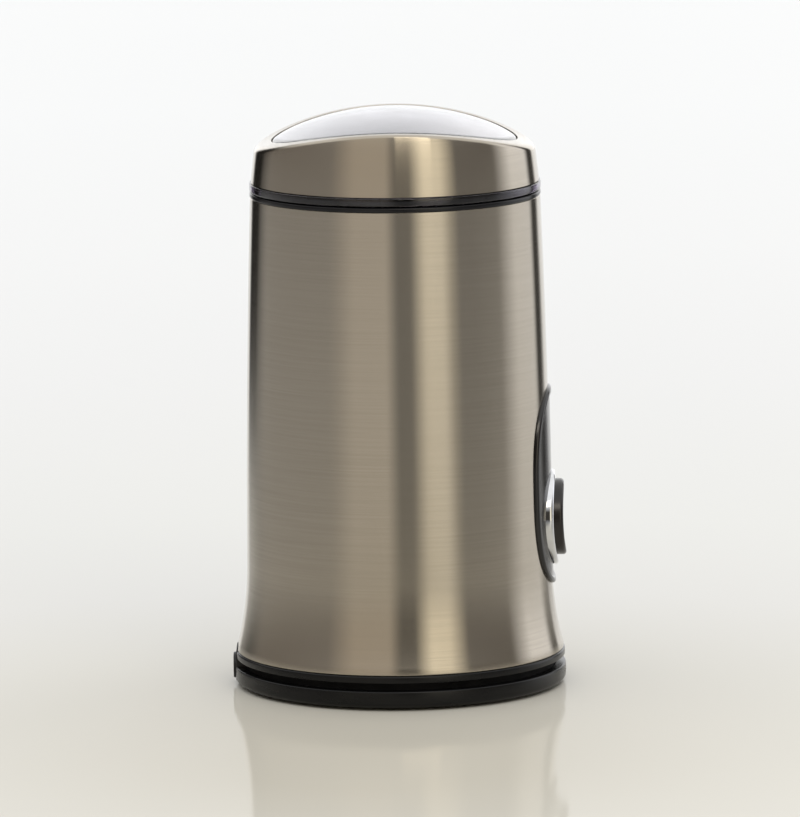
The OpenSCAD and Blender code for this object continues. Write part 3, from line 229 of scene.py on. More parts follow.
# ---- finishes, by the record's material slots ----
# The brush lines run round the axis, so lights are drawn out up and down, across them
BRUSHED = {
    "colours": ("#AEA699", "#B5ADA0"), "rough": (0.165, 0.19), "spacing": (40, 40, 0.4), "bump_mm": 0.0003,
    "tangent": "Z", "fine": (25, 25, 0.3), "Metallic": 1.0, "Anisotropic": 1.0, "Anisotropic Rotation": 0.25}
FINISHES = {
    # Brushed stainless sheet: warm grey with a soft vertical gloss
    "body_steel": finish("brushed_stainless_sleeve", **BRUSHED),
    "lid_steel": finish("brushed_stainless_lid", **BRUSHED),
    # Deep-drawn stainless, spun bright inside: narrow rings of light
    "bowl_steel": finish("spun_stainless_bowl", ("#B9B8B4", "#D3D2CE"), (0.14, 0.24), (25, 25, 0.8), 0.003,
                         "Z", (20, 20, 0.3), Metallic=1.0, Anisotropic=0.6, **{"Anisotropic Rotation": 0.25}),
    # Hard stainless, ground flat along its length: fine straight scratches
    "blade_steel": finish("ground_stainless_blade", ("#B4B5B6", "#CFD0D0"), (0.18, 0.32), (12, 0.35, 12),
                          0.003, Metallic=1.0),
    "smoky_clear": smoky_clear(),
    # ABS moulded in a polished tool: black, glossy, with faint flow marks
    "collar_black": finish("polished_abs_collar", ("#0E0E10", "#19191C"), (0.16, 0.24), (9, 9, 3), 0.004,
                           IOR=1.36),
    "panel_black": finish("polished_abs_panel", ("#131212", "#1F1D1D"), (0.12, 0.2), (8, 8, 8), 0.003,
                          IOR=1.53),
    # ABS moulded in a fine-blasted tool: black with a soft sheen
    "button_black": finish("satin_abs_button", ("#130F0E", "#201A18"), (0.2, 0.28), (6, 6, 6), 0.004,
                           fine=(0.4, 0.4, 0.4), IOR=1.5),
    "base_black": finish("satin_abs_base", ("#0B0B0C", "#131314"), (0.2, 0.3), (14, 14, 5), 0.003,
                         fine=(0.5, 0.5, 0.5), IOR=1.33),
    "bush_black": finish("satin_abs_outlet", ("#111112", "#1C1C1E"), (0.28, 0.4), (5, 5, 5), 0.004,
                         fine=(0.4, 0.4, 0.4), IOR=1.42),
    # Chromium over polished ABS: a bright, slightly cool mirror
    "bezel_chrome": finish("chrome_plated_bezel", ("#D6D7DA", "#E6E7E9"), (0.04, 0.09), (5, 5, 5), 0.001,
                           Metallic=1.0),
    # Rubber from a sandblasted mould: dark grey and dull
    "foot_rubber": finish("nitrile_rubber_feet", ("#202020", "#303030"), (0.65, 0.8), (1.2, 1.2, 1.2), 0.02,
                          fine=(0.5, 0.5, 0.5), IOR=1.52),
    "seal_rubber": finish("silicone_rubber_seal", ("#232325", "#343437"), (0.5, 0.65), (1.5, 1.5, 1.5), 0.01,
                          fine=(0.6, 0.6, 0.6), IOR=1.42),
    # Glass-filled nylon, natural: off-white with a faint mottle
    "frame_plastic": finish("natural_nylon_frame", ("#C9C5BA", "#DDD9CF"), (0.45, 0.6), (7, 7, 7), 0.01,
                            fine=(0.8, 0.8, 0.8), IOR=1.53),
    # Acetal, natural: whiter than the nylon, with a waxy gloss
    "rod_plastic": finish("natural_acetal_rod", ("#D8D5CC", "#E8E5DD"), (0.35, 0.45), (4, 4, 8), 0.004,
                          IOR=1.48),
    # Phenolic, moulded: brown-black for the hub, blue-black for the switch, both dull
    "hub_plastic": finish("moulded_phenolic_hub", ("#1D1B1A", "#2B2826"), (0.4, 0.5), (3, 3, 3), 0.006,
                          IOR=1.6),
    "switch_plastic": finish("phenolic_switch_case", ("#232427", "#323338"), (0.42, 0.55), (4, 4, 4), 0.008,
                             IOR=1.6),
    # Nylon dyed through: an even red, as on most switch plungers
    "plunger_red": finish("moulded_red_nylon", ("#9A2620", "#B8352C"), (0.35, 0.48), (3, 3, 3), 0.006,
                          IOR=1.53),
    # Zinc plate: a grey, slightly cloudy gloss
    "screw_steel": finish("zinc_plated_screws", ("#8F9398", "#ACB0B2"), (0.24, 0.38), (1.5, 1.5, 1.5), 0.004,
                          Metallic=1.0),
    # Ground round, so its marks are rings
    "shaft_steel": finish("ground_shaft_steel", ("#A3A6A9", "#BEC0C2"), (0.16, 0.26), (6, 6, 0.4), 0.002,
                          Metallic=1.0),
    # Hard-drawn wire: thin bright lines along each turn
    "spring_steel": finish("drawn_spring_wire", ("#85898E", "#A7AAAE"), (0.22, 0.34), (1, 1, 1), 0.003,
                           Metallic=1.0),
    # Zinc alloy as cast: pale grey, dull and a little uneven
    "bracket_alloy": finish("cast_zinc_brackets", ("#9A9C9E", "#B6B8B9"), (0.42, 0.58), (2.5, 2.5, 2.5), 0.02,
                            fine=(0.7, 0.7, 0.7), Metallic=1.0),
    # Bronze pressed from powder: brown, open-pored and oily
    "bearing_bronze": finish("sintered_bronze", ("#8B653A", "#AA8350"), (0.38, 0.52), (0.6, 0.6, 0.6), 0.01,
                             Metallic=1.0),
    # Brass sheet as pressed: yellow with a soft gloss
    "holder_brass": finish("pressed_brass", ("#B08C42", "#CBA95C"), (0.22, 0.34), (4, 4, 4), 0.004,
                           Metallic=1.0),
    # Carbon pressed with graphite: near black with a faint metal sheen
    "carbon": finish("pressed_carbon", ("#262628", "#38383B"), (0.5, 0.65), (0.8, 0.8, 0.8), 0.008,
                     Metallic=0.3),
    # Copper turned on the lathe: bright, with rings
    "commutator_copper": finish("turned_commutator_copper", ("#AE6A3E", "#C98A5A"), (0.2, 0.34), (9, 9, 0.4),
                                0.004, Metallic=1.0),
    # Sheets of silicon steel 0.5 mm thick, drawn 1 mm thick so that they show
    "lamination_steel": striped("stacked_laminations", ("#4A4D52", "#7A7E82"), (0.35, 0.5), 1.0, 0.05,
                                Metallic=1.0),
    # Enamelled copper wire, wound in turns 0.6 mm apart
    "copper_wire": striped("enamelled_copper_wire", ("#7A3517", "#C06A34"), (0.2, 0.32), 0.6, 0.12,
                           Metallic=0.8, **{"Coat Weight": 0.6}),
}
# The neck between the flanges, painted as shade: a darker black with no sheen, so that the groove reads as a
# dark line
groove_shade_black = finish("neck_painted_shade", ("#0B0B0C", "#111112"), (0.75, 0.9), (5, 5, 5), 0.01,
                      fine=(0.6, 0.6, 0.6), IOR=1.3)


# ---- mesh helpers ----
def shade(bm, sharp_degrees=32):
    """Smooth shading, with an edge kept sharp where its faces turn further than sharp_degrees."""
    for face in bm.faces:
        face.smooth = True
    for edge in bm.edges:
        edge.smooth = len(edge.link_faces) == 2 and edge.calc_face_angle(0.0) < math.radians(sharp_degrees)


def link(name, bm):
    """An object at the origin from a bmesh, which is freed."""
    mesh = bpy.data.meshes.new(name)
    bm.to_mesh(mesh)
    bm.free()
    made = bpy.data.objects.new(name, mesh)
    scene.collection.objects.link(made)
    return made


def loft(name, rings, closed=True):
    """A skin over rings of points in millimetres, which follow each other round and meet again."""
    bm = bmesh.new()
    grid = [[bm.verts.new([c * MM for c in p]) for p in ring] for ring in rings]
    count, points = len(grid), len(grid[0])
    for i in range(count):
        for j in range(points if closed else points - 1):
            k, m = (i + 1) % count, (j + 1) % points
            bm.faces.new((grid[i][j], grid[i][m], grid[k][m], grid[k][j]))
    bmesh.ops.remove_doubles(bm, verts=bm.verts, dist=1e-7)
    bmesh.ops.recalc_face_normals(bm, faces=bm.faces)
    return link(name, bm)


def rounded(corners, steps=5):
    """An outline of (a, b) or (a, b, radius) corners, with an arc of that radius at each."""
    line = []
    for i, corner in enumerate(corners):
        here = Vector(corner[:2])
        if len(corner) < 3:
            line.append(tuple(here))
            continue
        to = (Vector(corners[i - 1][:2]) - here).normalized()
        on = (Vector(corners[(i + 1) % len(corners)][:2]) - here).normalized()
        half = to.angle(on) / 2
        centre = here + (to + on).normalized() * corner[2] / math.sin(half)
        reach = corner[2] / math.tan(half)
        first, last = here + to * reach - centre, here + on * reach - centre
        turn = first.angle_signed(last)
        for k in range(steps + 1):
            point = centre + Matrix.Rotation(-turn * k / steps, 2) @ first
            line.append(tuple(point))
    return line


def swept(name, outline_at, count, closed=True):
    """A round body about Z; outline_at(angle) gives its (radius, height) outline there."""
    angles = [math.tau * i / count for i in range(count)]
    rings = [[(r * math.cos(a), r * math.sin(a), z) for r, z in outline_at(a)] for a in angles]
    return loft(name, rings, closed)


def lathe(name, outline, count=256, closed=True):
    """A body of revolution about Z from one outline of (radius, height)."""
    return swept(name, lambda a: outline, count, closed)


def prism(name, outline, place):
    """A block whose two ends are copies of an outline; place(a, b, end) gives a corner's point."""
    bm = bmesh.new()
    ends = [[bm.verts.new([c * MM for c in place(a, b, end)]) for a, b in outline] for end in (0, 1)]
    bm.faces.new(ends[0])
    bm.faces.new(ends[1])
    for i in range(len(outline)):
        j = (i + 1) % len(outline)
        bm.faces.new((ends[0][i], ends[0][j], ends[1][j], ends[1][i]))
    bmesh.ops.recalc_face_normals(bm, faces=bm.faces)
    return link(name, bm)


def upright(name, outline, low, high):
    """A block with an outline seen from above, from one height to another."""
    return prism(name, outline, lambda a, b, end: (a, b, (low, high)[end]))


def sideways(name, outline, near, far):
    """A block with an outline seen along X, from one X to another."""
    return prism(name, outline, lambda y, z, end: ((near, far)[end], y, z))


def rod(name, radius, low, high, x, y, count=48):
    """A plain round cutter along Z."""
    ring = [(x + radius * math.cos(math.tau * i / count), y + radius * math.sin(math.tau * i / count))
            for i in range(count)]
    return upright(name, ring, low, high)


def plain_mesh(piece):
    """Turns a piece with its modifiers into a plain mesh."""
    bpy.context.view_layer.update()
    made = bpy.data.meshes.new_from_object(piece.evaluated_get(bpy.context.evaluated_depsgraph_get()))
    old = piece.data
    piece.modifiers.clear()
    piece.data = made
    bpy.data.meshes.remove(old)


def cut(piece, cutters):
    """Takes the cutters out of the piece, and removes them."""
    for cutter in cutters:
        tool = piece.modifiers.new("cut", "BOOLEAN")
        tool.operation, tool.solver, tool.object = "DIFFERENCE", "EXACT", cutter
    plain_mesh(piece)
    for cutter in cutters:
        bpy.data.objects.remove(cutter)
    bm = bmesh.new()
    bm.from_mesh(piece.data)
    bmesh.ops.remove_doubles(bm, verts=bm.verts, dist=2e-7)
    shade(bm)
    bm.to_mesh(piece.data)
    bm.free()


def settle(piece, slot, body, node):
    """Gives a piece its shading and the finish of its material slot, ties it to its body, and hides the node
    it stands for.
    """
    bm = bmesh.new()
    bm.from_mesh(piece.data)
    shade(bm)
    bm.to_mesh(piece.data)
    bm.free()
    piece.data.materials.clear()
    piece.data.materials.append(FINISHES[slot])
    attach(piece, body)
    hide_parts(node)


def turn_places(radius, start, count=4):
    """Places round the axis, in millimetres, from the start angle in degrees."""
    return [(radius * math.cos(math.radians(start + 360 * i / count)),
             radius * math.sin(math.radians(start + 360 * i / count))) for i in range(count)]


def between(p, q, t):
    """The point a share t of the way from p to q."""
    return tuple(a + (b - a) * t for a, b in zip(p, q))


def span(start, end, steps):
    """Evenly spaced numbers from start to end, both included."""
    return [start + (end - start) * i / steps for i in range(steps + 1)]


def across_x(middle, radius, a, x):
    """A point on a ring whose axis runs along X at height middle."""
    return (x, radius * math.cos(a), middle + radius * math.sin(a))


# ---- Geometry Nodes ----
def node_tree(name, sockets):
    """An empty Geometry Nodes tree with named inputs and one output."""
    tree = bpy.data.node_groups.new(name, "GeometryNodeTree")
    tree.interface.new_socket("Geometry", in_out="OUTPUT", socket_type="NodeSocketGeometry")
    for label, kind in sockets.items():
        tree.interface.new_socket(label, in_out="INPUT", socket_type="NodeSocket" + kind)
    return tree, add(tree, "NodeGroupInput").outputs


def copies_at(tree, given, copied, turned):
    """Ends a tree: what is copied stands at each place, turned, as real geometry with its finish."""
    copies = add(tree, "GeometryNodeInstanceOnPoints", {
        "Points": given["Places"], "Instance": copied, "Rotation": turned})
    real = add(tree, "GeometryNodeRealizeInstances", {0: copies.outputs[0]})
    done = add(tree, "GeometryNodeSetMaterial", {"Geometry": real.outputs[0], "Material": given["Finish"]})
    add(tree, "NodeGroupOutput", {0: done.outputs[0]})
    return tree


def pieces_tree():
    """A copy of one piece at each vertex, each turned by its own angle about Z."""
    tree, given = node_tree("pieces_at_places", {
        "Places": "Geometry", "Piece": "Object", "Most Turn": "Float", "Seed": "Int", "Finish": "Material"})
    piece = add(tree, "GeometryNodeObjectInfo", {"Object": given["Piece"]})
    turn = add(tree, "FunctionNodeRandomValue", {2: 0.0, 3: given["Most Turn"], "Seed": given["Seed"]})
    angles = add(tree, "ShaderNodeCombineXYZ", {2: turn.outputs[1]})
    return copies_at(tree, given, piece.outputs["Geometry"], angles.outputs[0])


def coils_tree():
    """A wire coil at each vertex, which runs from there along Y, away from the middle."""
    tree, given = node_tree("coil_springs", {
        "Places": "Geometry", "Coil Radius": "Float", "Wire Radius": "Float", "Length": "Float",
        "Turns": "Float", "Finish": "Material"})
    line = add(tree, "GeometryNodeCurveSpiral", {
        "Resolution": 32, "Rotations": given["Turns"], "Start Radius": given["Coil Radius"],
        "End Radius": given["Coil Radius"], "Height": given["Length"]})
    wire = add(tree, "GeometryNodeCurvePrimitiveCircle", {"Resolution": 12, "Radius": given["Wire Radius"]})
    coil = add(tree, "GeometryNodeCurveToMesh", {
        "Curve": line.outputs[0], "Profile Curve": wire.outputs[0], "Fill Caps": True})
    place = add(tree, "GeometryNodeInputPosition")
    outward = add(tree, "ShaderNodeVectorMath", {0: place.outputs[0], 1: (0.0, 1.0, 0.0)},
                  operation="MULTIPLY")
    aim = add(tree, "FunctionNodeAlignRotationToVector", {"Vector": outward.outputs[0]}, axis="Z")
    return copies_at(tree, given, coil.outputs[0], aim.outputs[0])


def grow(name, tree, places, values):
    """A piece that a tree makes from places in millimetres, turned into a plain mesh."""
    bm = bmesh.new()
    for place in places:
        bm.verts.new([c * MM for c in place])
    piece = link(name, bm)
    tool = piece.modifiers.new(tree.name, "NODES")
    tool.node_group = tree
    for item in tree.interface.items_tree:
        if item.in_out == "INPUT" and item.name in values:
            tool[item.identifier] = values[item.name]
    plain_mesh(piece)
    return piece


def grow_copies(name, pattern, places, most_turn, seed, slot):
    """A piece made of copies of a pattern, which is then removed."""
    piece = grow(name, pieces, places, {
        "Piece": pattern, "Most Turn": most_turn, "Seed": seed, "Finish": FINISHES[slot]})
    bpy.data.objects.remove(pattern)
    return piece


# ---- surfaces that several pieces share ----
def sleeve_r(z):
    """The sleeve's outer radius at a height: a flare below the waist, a slight swell above it."""
    if z < WAIST_Z:
        return WAIST_R + FLARE_R - math.sqrt(FLARE_R ** 2 - (WAIST_Z - z) ** 2)
    t = (z - WAIST_Z) / (TOP_Z - WAIST_Z)
    return WAIST_R + (TOP_R - WAIST_R) * t + 4 * SWELL * t * (1 - t)


def on_sleeve(y, z, proud):
    """The point on the button's side of the sleeve, proud millimetres outside it."""
    return (math.sqrt((sleeve_r(z) + proud) ** 2 - y * y), y, z)


def panel_point(a, inset):
    """A point (y, z) on the panel's outline, shrunk by inset."""
    c, s = math.cos(a), math.sin(a)
    return ((PANEL_W / 2 - inset) * math.copysign(abs(c) ** (2 / PANEL_POWER), c),
            PANEL_Z + (PANEL_H / 2 - inset) * math.copysign(abs(s) ** (2 / PANEL_POWER), s))


def dished(z, back):
    """X of the hollow that runs across the button and its bezel, at height z."""
    return DISH_X + DISH_R - back - math.sqrt(DISH_R ** 2 - (z - BUTTON_Z - DISH_SHIFT) ** 2)


def outlet_point(a, wider=0.0):
    """A point (y, z) on the arch of the cord outlet, seen from the middle of its round top."""
    middle, half = OUTLET_TOP - OUTLET_W / 2, OUTLET_W / 2 + wider
    c, s = math.cos(a), math.sin(a)
    drop = middle - COVER_Z - OUTLET_LIFT + wider
    reach = half if s >= 0 else min(half / max(abs(c), 1e-6), drop / max(abs(s), 1e-6))
    return (reach * c, middle + reach * s)


def outlet_cutter():
    """The arched opening for the cord outlet."""
    return sideways("outlet_cutter", [outlet_point(math.tau * i / 96, FIT) for i in range(96)], -60, -40)


def lid_wall_r(z, inset):
    """The lid wall's radius at a height, which leans in and tucks in further near the top."""
    return LID_R - LEAN * (z - LID_Z) - TUCK * ((z - LID_Z) / (CROWN_Z - LID_Z)) ** 3 - inset


def arch_z(r, a, inset):
    """The height of the lid's arch, which falls to both sides along X."""
    return CROWN_Z - inset - ARCH_R + math.sqrt(ARCH_R ** 2 - (r * math.cos(a)) ** 2)


def dome_z(r, a, inset):
    """The height of the window, which bulges above the arch."""
    return arch_z(r, a, inset) + WINDOW_RISE * (1 - (r / WINDOW_R) ** 2)


def lid_corner(a, inset):
    """Radius and height where the lid's wall would meet its arch at angle a."""
    corner = LID_R
    for _ in range(2):
        corner = lid_wall_r(arch_z(corner, a, inset), inset)
    return corner, arch_z(corner, a, inset)


def shoulder_size(a, less):
    """Width and height of the shoulder's rounding at angle a, made smaller for the surfaces inside."""
    return [max(low * math.cos(a) ** 2 + high * math.sin(a) ** 2 - less, 0.25)
            for low, high in zip(SHOULDER_LOW, SHOULDER_HIGH)]


def shoulder_line(a, inset, size, steps):
    """The smooth corner from the lid's wall to its arch at angle a."""
    corner, top = lid_corner(a, inset)
    low = (lid_wall_r(top - size[1], inset), top - size[1])
    high = (corner - size[0], arch_z(corner - size[0], a, inset))
    by_axis = list(zip(low, (corner, top), high))
    return [tuple((1 - t) ** 2 * p + 2 * t * (1 - t) * c + t * t * q for p, c, q in by_axis)
            for t in span(0.0, 1.0, steps)]


def wall_line(a, inset, size, steps, foot=0.0):
    """Points up the lid's wall to just under the shoulder, the first one foot millimetres above the seam."""
    top = lid_corner(a, inset)[1] - size[1]
    return [(lid_wall_r(z, inset), z) for z in span(LID_Z + foot, top, steps)[:-1]]


# ---- pieces ----
def make_sleeve():
    """The steel sleeve, whose lower edge is rolled in: its last half millimetre shows the black flange."""
    outer = [(sleeve_r(z), z) for z in span(SLEEVE_Z + FOOT_ROLL, TOP_Z - TOP_BREAK, 72)]
    inner = [(r - WALL, z) for r, z in outer]
    foot_r, foot_z = outer[0]
    roll = [(foot_r - FOOT_ROLL * (1 - math.cos(math.pi / 2 * t)),
             foot_z - FOOT_ROLL * math.sin(math.pi / 2 * t)) for t in (1.0, 0.8, 0.6, 0.4, 0.2)]
    outer = roll + outer + [(TOP_R - TOP_BREAK, TOP_Z)]
    inner = [(sleeve_r(SLEEVE_Z) - WALL, SLEEVE_Z)] + inner + [(TOP_R - WALL, TOP_Z)]
    sleeve = lathe("steel_sleeve", outer + inner[::-1])
    hole = [panel_point(math.tau * i / 120, RIM_W) for i in range(120)]
    cut(sleeve, [sideways("panel_hole", hole, 25, 60), outlet_cutter()])
    settle(sleeve, "body_steel", "housing", "body_shell")


def make_collar():
    """The black collar: a lip over the sleeve's top, a skirt inside the sleeve and a spigot for the lid."""
    skirt = sleeve_r(TOP_Z - COLLAR_SKIRT_H / 2) - WALL - COLLAR_GAP
    skirt_z, web_z = TOP_Z - COLLAR_SKIRT_H, LIP_Z - COLLAR_WEB
    collar = lathe("black_collar", rounded([
        (SPIGOT_R - SPIGOT_T, web_z), (skirt - COLLAR_WALL, web_z), (skirt - COLLAR_WALL, skirt_z),
        (skirt, skirt_z), (skirt, TOP_Z), (LIP_R, TOP_Z, 0.3), (LIP_R, LIP_Z, 0.5), (SPIGOT_R, LIP_Z, 0.4),
        (SPIGOT_R, RIM_Z, 0.7), (SPIGOT_R - SPIGOT_T, RIM_Z, 0.3)]))
    rod_x, rod_y = turn_places(ROD_RING, ROD_TURN)[0]
    cut(collar, [rod("rod_hole", ROD_HOLE_R, 130, 156, rod_x, rod_y, 24)])
    settle(collar, "collar_black", "housing", "top_collar")


def make_base_ring():
    """The upper flange of the base, with the spigot that the sleeve stands round."""
    top = SLEEVE_Z + RING_SPIGOT_H
    spigot = sleeve_r(top) - WALL - RING_SPIGOT_GAP
    ring = lathe("base_upper_flange", rounded([
        (RING_IN_R, RING_Z), (RING_R, RING_Z, 0.35), (RING_R, SLEEVE_Z, 0.6), (spigot, SLEEVE_Z),
        (spigot, top), (spigot - RING_SPIGOT_T, top), (spigot - RING_SPIGOT_T, SLEEVE_Z),
        (RING_IN_R, SLEEVE_Z)]))
    holes = [rod("screw_way", SHANK_WAY_R, 7, 12, x, y) for x, y in turn_places(LEG_RING, LEG_TURN)]
    cut(ring, holes + [outlet_cutter()])
    settle(ring, "base_black", "housing", "base_ring")


def vent_outline(middle):
    """A slot with round ends, seen from above, its long axis at Y = middle."""
    turn = [(VENT_HALF * math.sin(t), -VENT_HALF * math.cos(t)) for t in (0.0, 0.6, 1.2, 1.8, 2.5, math.pi)]
    return ([(VENT_TO - VENT_HALF + x, middle + y) for x, y in turn]
            + [(VENT_FROM + VENT_HALF - x, middle - y) for x, y in turn])


def make_base_cover():
    """The lower flange of the base with its floor, the ways for screws and feet, and the vents."""
    neck_in, floor_z = GROOVE_R - GROOVE_WALL, COVER_Z + FLOOR_T
    cover = lathe("base_lower_flange", rounded([
        (0.0, COVER_Z), (BASE_R, COVER_Z, COVER_ROUND), (BASE_R, GROOVE_Z, 0.5), (GROOVE_R, GROOVE_Z, 0.2),
        (GROOVE_R, RING_Z), (neck_in, RING_Z), (neck_in, floor_z), (0.0, floor_z)]), closed=False)
    screws, feet = turn_places(LEG_RING, LEG_TURN), turn_places(FEET_RING, FEET_TURN)
    holes = [rod("screw_way", SHANK_WAY_R, 0, 9, x, y) for x, y in screws]
    holes += [rod("head_way", HEAD_WAY_R, 0, floor_z, x, y) for x, y in screws]
    holes += [rod("foot_way", FOOT_R + FIT, 0, FOOT_WAY_TOP, x, y) for x, y in feet]
    holes += [upright("vent", vent_outline(VENT_PITCH * i), 0, 6) for i in range(-3, 4)]
    cut(cover, holes + [outlet_cutter()])
    settle(cover, "base_black", "housing", "base_cover")
    # Painted shade: the faces of the neck in the groove take the darker, dull finish
    cover.data.materials.append(groove_shade_black)
    for face in cover.data.polygons:
        x, y, z = face.center / MM
        face.material_index = int(abs(math.hypot(x, y) - GROOVE_R) < 0.4 and z > GROOVE_Z - 0.3)


def cover_outline(a):
    """The lid cover's section at angle a, from the seam outside up to the window and back inside."""
    bend_out, bend_in = shoulder_size(a, 0), shoulder_size(a, WALL / 2)
    outer, inner = shoulder_line(a, 0, bend_out, 12), shoulder_line(a, WALL, bend_in, 8)
    hem, edge, edge_z = 0.2, 0.25, arch_z(WINDOW_R, a, 0)
    arch = [(r, arch_z(r, a, 0)) for r in span(outer[-1][0], WINDOW_R + edge, 5)[1:]]
    return ([(lid_wall_r(LID_Z, 0) - hem, LID_Z)] + wall_line(a, 0, bend_out, 10, hem) + outer + arch
            + [(WINDOW_R + edge * 0.3, edge_z - edge * 0.25), (WINDOW_R, edge_z - edge)]
            + [(WINDOW_R, arch_z(WINDOW_R, a, WALL))] + inner[::-1] + wall_line(a, WALL, bend_in, 6)[::-1])


def make_lid_cover():
    """The steel cover of the lid, arched along X, with a round window opening."""
    settle(swept("steel_lid_cover", cover_outline, 288), "lid_steel", "lid", "lid_cover")


def liner_outline(a):
    """The clear moulding's section at angle a, from the window's middle out to the flange and back inside."""
    inset = UNDER_COVER + LINER_WALL
    edge = WINDOW_R - WINDOW_GAP
    bend_out, bend_in = shoulder_size(a, WALL / 2), shoulder_size(a, WALL)
    outer = shoulder_line(a, UNDER_COVER, bend_out, 8)
    inner = wall_line(a, inset, bend_in, 6)[2:] + shoulder_line(a, inset, bend_in, 8)
    flange = rounded([
        (lid_wall_r(LID_Z, UNDER_COVER), FLANGE_TOP), (LINER_FLANGE_R, FLANGE_TOP, 0.25),
        (LINER_FLANGE_R, FLANGE_Z, 0.5), (LINER_IN_R, FLANGE_Z, 0.2), (LINER_IN_R, FLANGE_Z + 3)], 4)
    line = [(r, dome_z(r, a, WINDOW_SINK)) for r in span(0.0, edge - 0.4, 22)]
    top = dome_z(edge, a, WINDOW_SINK)
    line += [(edge - 0.1, top - 0.05), (edge, top - 0.25), (edge, arch_z(edge, a, UNDER_COVER))]
    line += outer[::-1] + wall_line(a, UNDER_COVER, bend_out, 6)[:0:-1] + flange
    return line + inner + [(r, dome_z(r, a, inset)) for r in span(WINDOW_R, 0.0, 22)]


def make_lid_liner():
    """The clear moulding inside the lid: window, skirt and flange."""
    settle(swept("smoky_lid_liner", liner_outline, 288, closed=False), "smoky_clear", "lid", "lid_liner")


def make_button_panel():
    """The black oval panel: a raised rim, a field that follows the sleeve, and a cup for the button."""
    rim = rounded([(0.0, HAIR), (0.0, RIM_T, 0.55), (RIM_W, RIM_T, 0.5), (RIM_W + 0.1, FIELD_T, 0.15),
                   (FIELD_INSET, FIELD_T)], 4)
    count, floor_x = 192, CUP_X - CUP_FLOOR
    rings = []
    for i in range(count):
        a = math.tau * i / count
        edge, back = panel_point(a, FIELD_INSET), panel_point(a, RIM_W + FIT)
        mouth, under = across_x(BUTTON_Z, CUP_R, a, CUP_X), across_x(BUTTON_Z, CUP_R + CUP_T, a, floor_x)
        ring = [on_sleeve(*panel_point(a, inset), proud) for inset, proud in rim]
        ring += [on_sleeve(*between(edge, mouth[1:], k / 8), FIELD_T) for k in range(1, 9)]
        ring += [mouth, across_x(BUTTON_Z, STEM_HOLE_R, a, CUP_X)]
        ring += [across_x(BUTTON_Z, STEM_HOLE_R, a, floor_x), under]
        ring += [on_sleeve(*between(under[1:], back, t), -PANEL_DEPTH) for t in (0.0, 0.5, 1.0)]
        ring.append(on_sleeve(*back, HAIR))
        rings.append(ring)
    settle(loft("button_panel_moulding", rings), "panel_black", "housing", "button_panel")


def make_bezel():
    """The chrome ring: a neck through the panel, and a front that follows the button's hollow face."""
    count, rings = 192, []
    for i in range(count):
        a = math.tau * i / count
        neck_seat, foot = (on_sleeve(*across_x(BUTTON_Z, r, a, 0)[1:], FIELD_T + HAIR)[0]
                           for r in (NECK_R, BEZEL_R))

        def front(radius, behind=0.0):
            return dished(BUTTON_Z + radius * math.sin(a), PROUD) - behind
        line = [(BORE_R, NECK_X), (NECK_R, NECK_X), (NECK_R, neck_seat), (BEZEL_R, foot)]
        drop = max(min(FRONT_ROUND, front(BEZEL_R) - foot - 0.1), 0.05)
        for t in span(0.0, math.pi / 2, 4):
            radius = BEZEL_R - FRONT_ROUND + FRONT_ROUND * math.cos(t)
            line.append((radius, front(radius, drop - drop * math.sin(t))))
        line += [(radius, front(radius)) for radius in (NECK_R, BORE_R + 0.8, BORE_R + 0.35)]
        line += [(BORE_R + 0.1, front(BORE_R, 0.08)), (BORE_R, front(BORE_R, 0.3))]
        rings.append([across_x(BUTTON_Z, r, a, x) for r, x in line])
    settle(loft("chrome_bezel", rings), "bezel_chrome", "housing", "button_bezel")


def make_button():
    """The button: a hollow face with a rounded edge, a skirt with a flange that keeps it in, and a stem."""
    count, rings = 160, []
    edge_r, skirt_in = BUTTON_R - FRONT_ROUND, BUTTON_R - SKIRT_T
    inside = [(BUTTON_R, FLANGE_X + 3), (BUTTON_R, FLANGE_X), (BUTTON_FLANGE_R, FLANGE_X),
              (BUTTON_FLANGE_R, FLANGE_X - FLANGE_T), (skirt_in, FLANGE_X - FLANGE_T),
              (skirt_in, DISH_X - CROWN_T), (STEM_R, DISH_X - CROWN_T), (STEM_R, STEM_TIP), (0, STEM_TIP)]
    for i in range(count):
        a = math.tau * i / count
        face = [(r, 0.0) for r in (0, 1.5, 3, 4.5, 6, 7.5, 9, 10, edge_r)]
        face += [(edge_r + FRONT_ROUND * math.sin(t), FRONT_ROUND - FRONT_ROUND * math.cos(t))
                 for t in span(0.0, math.pi / 2, 6)[1:]]
        line = [(r, dished(BUTTON_Z + r * math.sin(a), 0) - behind) for r, behind in face] + inside
        rings.append([across_x(BUTTON_Z, r, a, x) for r, x in line])
    settle(loft("dished_button", rings, closed=False), "button_black", "button", "power_button")


def make_outlet():
    """The cord outlet: an arched plate with a rounded edge, and a boss round the bore."""
    count, back, lean_z = 128, OUTLET_BACK, CORD_Z + BOSS_R
    plate = [(0, back - PLATE_X), (0, PLATE_ROUND), (0.04, 0.3), (0.15, 0.15), (0.3, 0.04), (PLATE_ROUND, 0)]
    boss = [(BOSS_R, PLATE_X), (BOSS_R, BOSS_X + 0.35), (BOSS_R - 0.1, BOSS_X + 0.1), (BOSS_R - 0.3, BOSS_X)]
    bore = [(CORD_R + 0.3, BOSS_X), (CORD_R + 0.1, BOSS_X + 0.1), (CORD_R, BOSS_X + 0.35), (CORD_R, back)]
    rings = []
    for i in range(count):
        a = math.tau * i / count
        ring = []
        for inset, depth in plate:
            y, z = outlet_point(a, -inset)
            lean = PLATE_LEAN * max(z - lean_z, 0) / (OUTLET_TOP + 1 - lean_z)
            ring.append((min(PLATE_X + depth + lean, back), y, z))
        rings.append(ring + [across_x(CORD_Z, r, a, x) for r, x in boss + bore])
    settle(loft("cord_outlet", rings), "bush_black", "housing", "cord_bush")


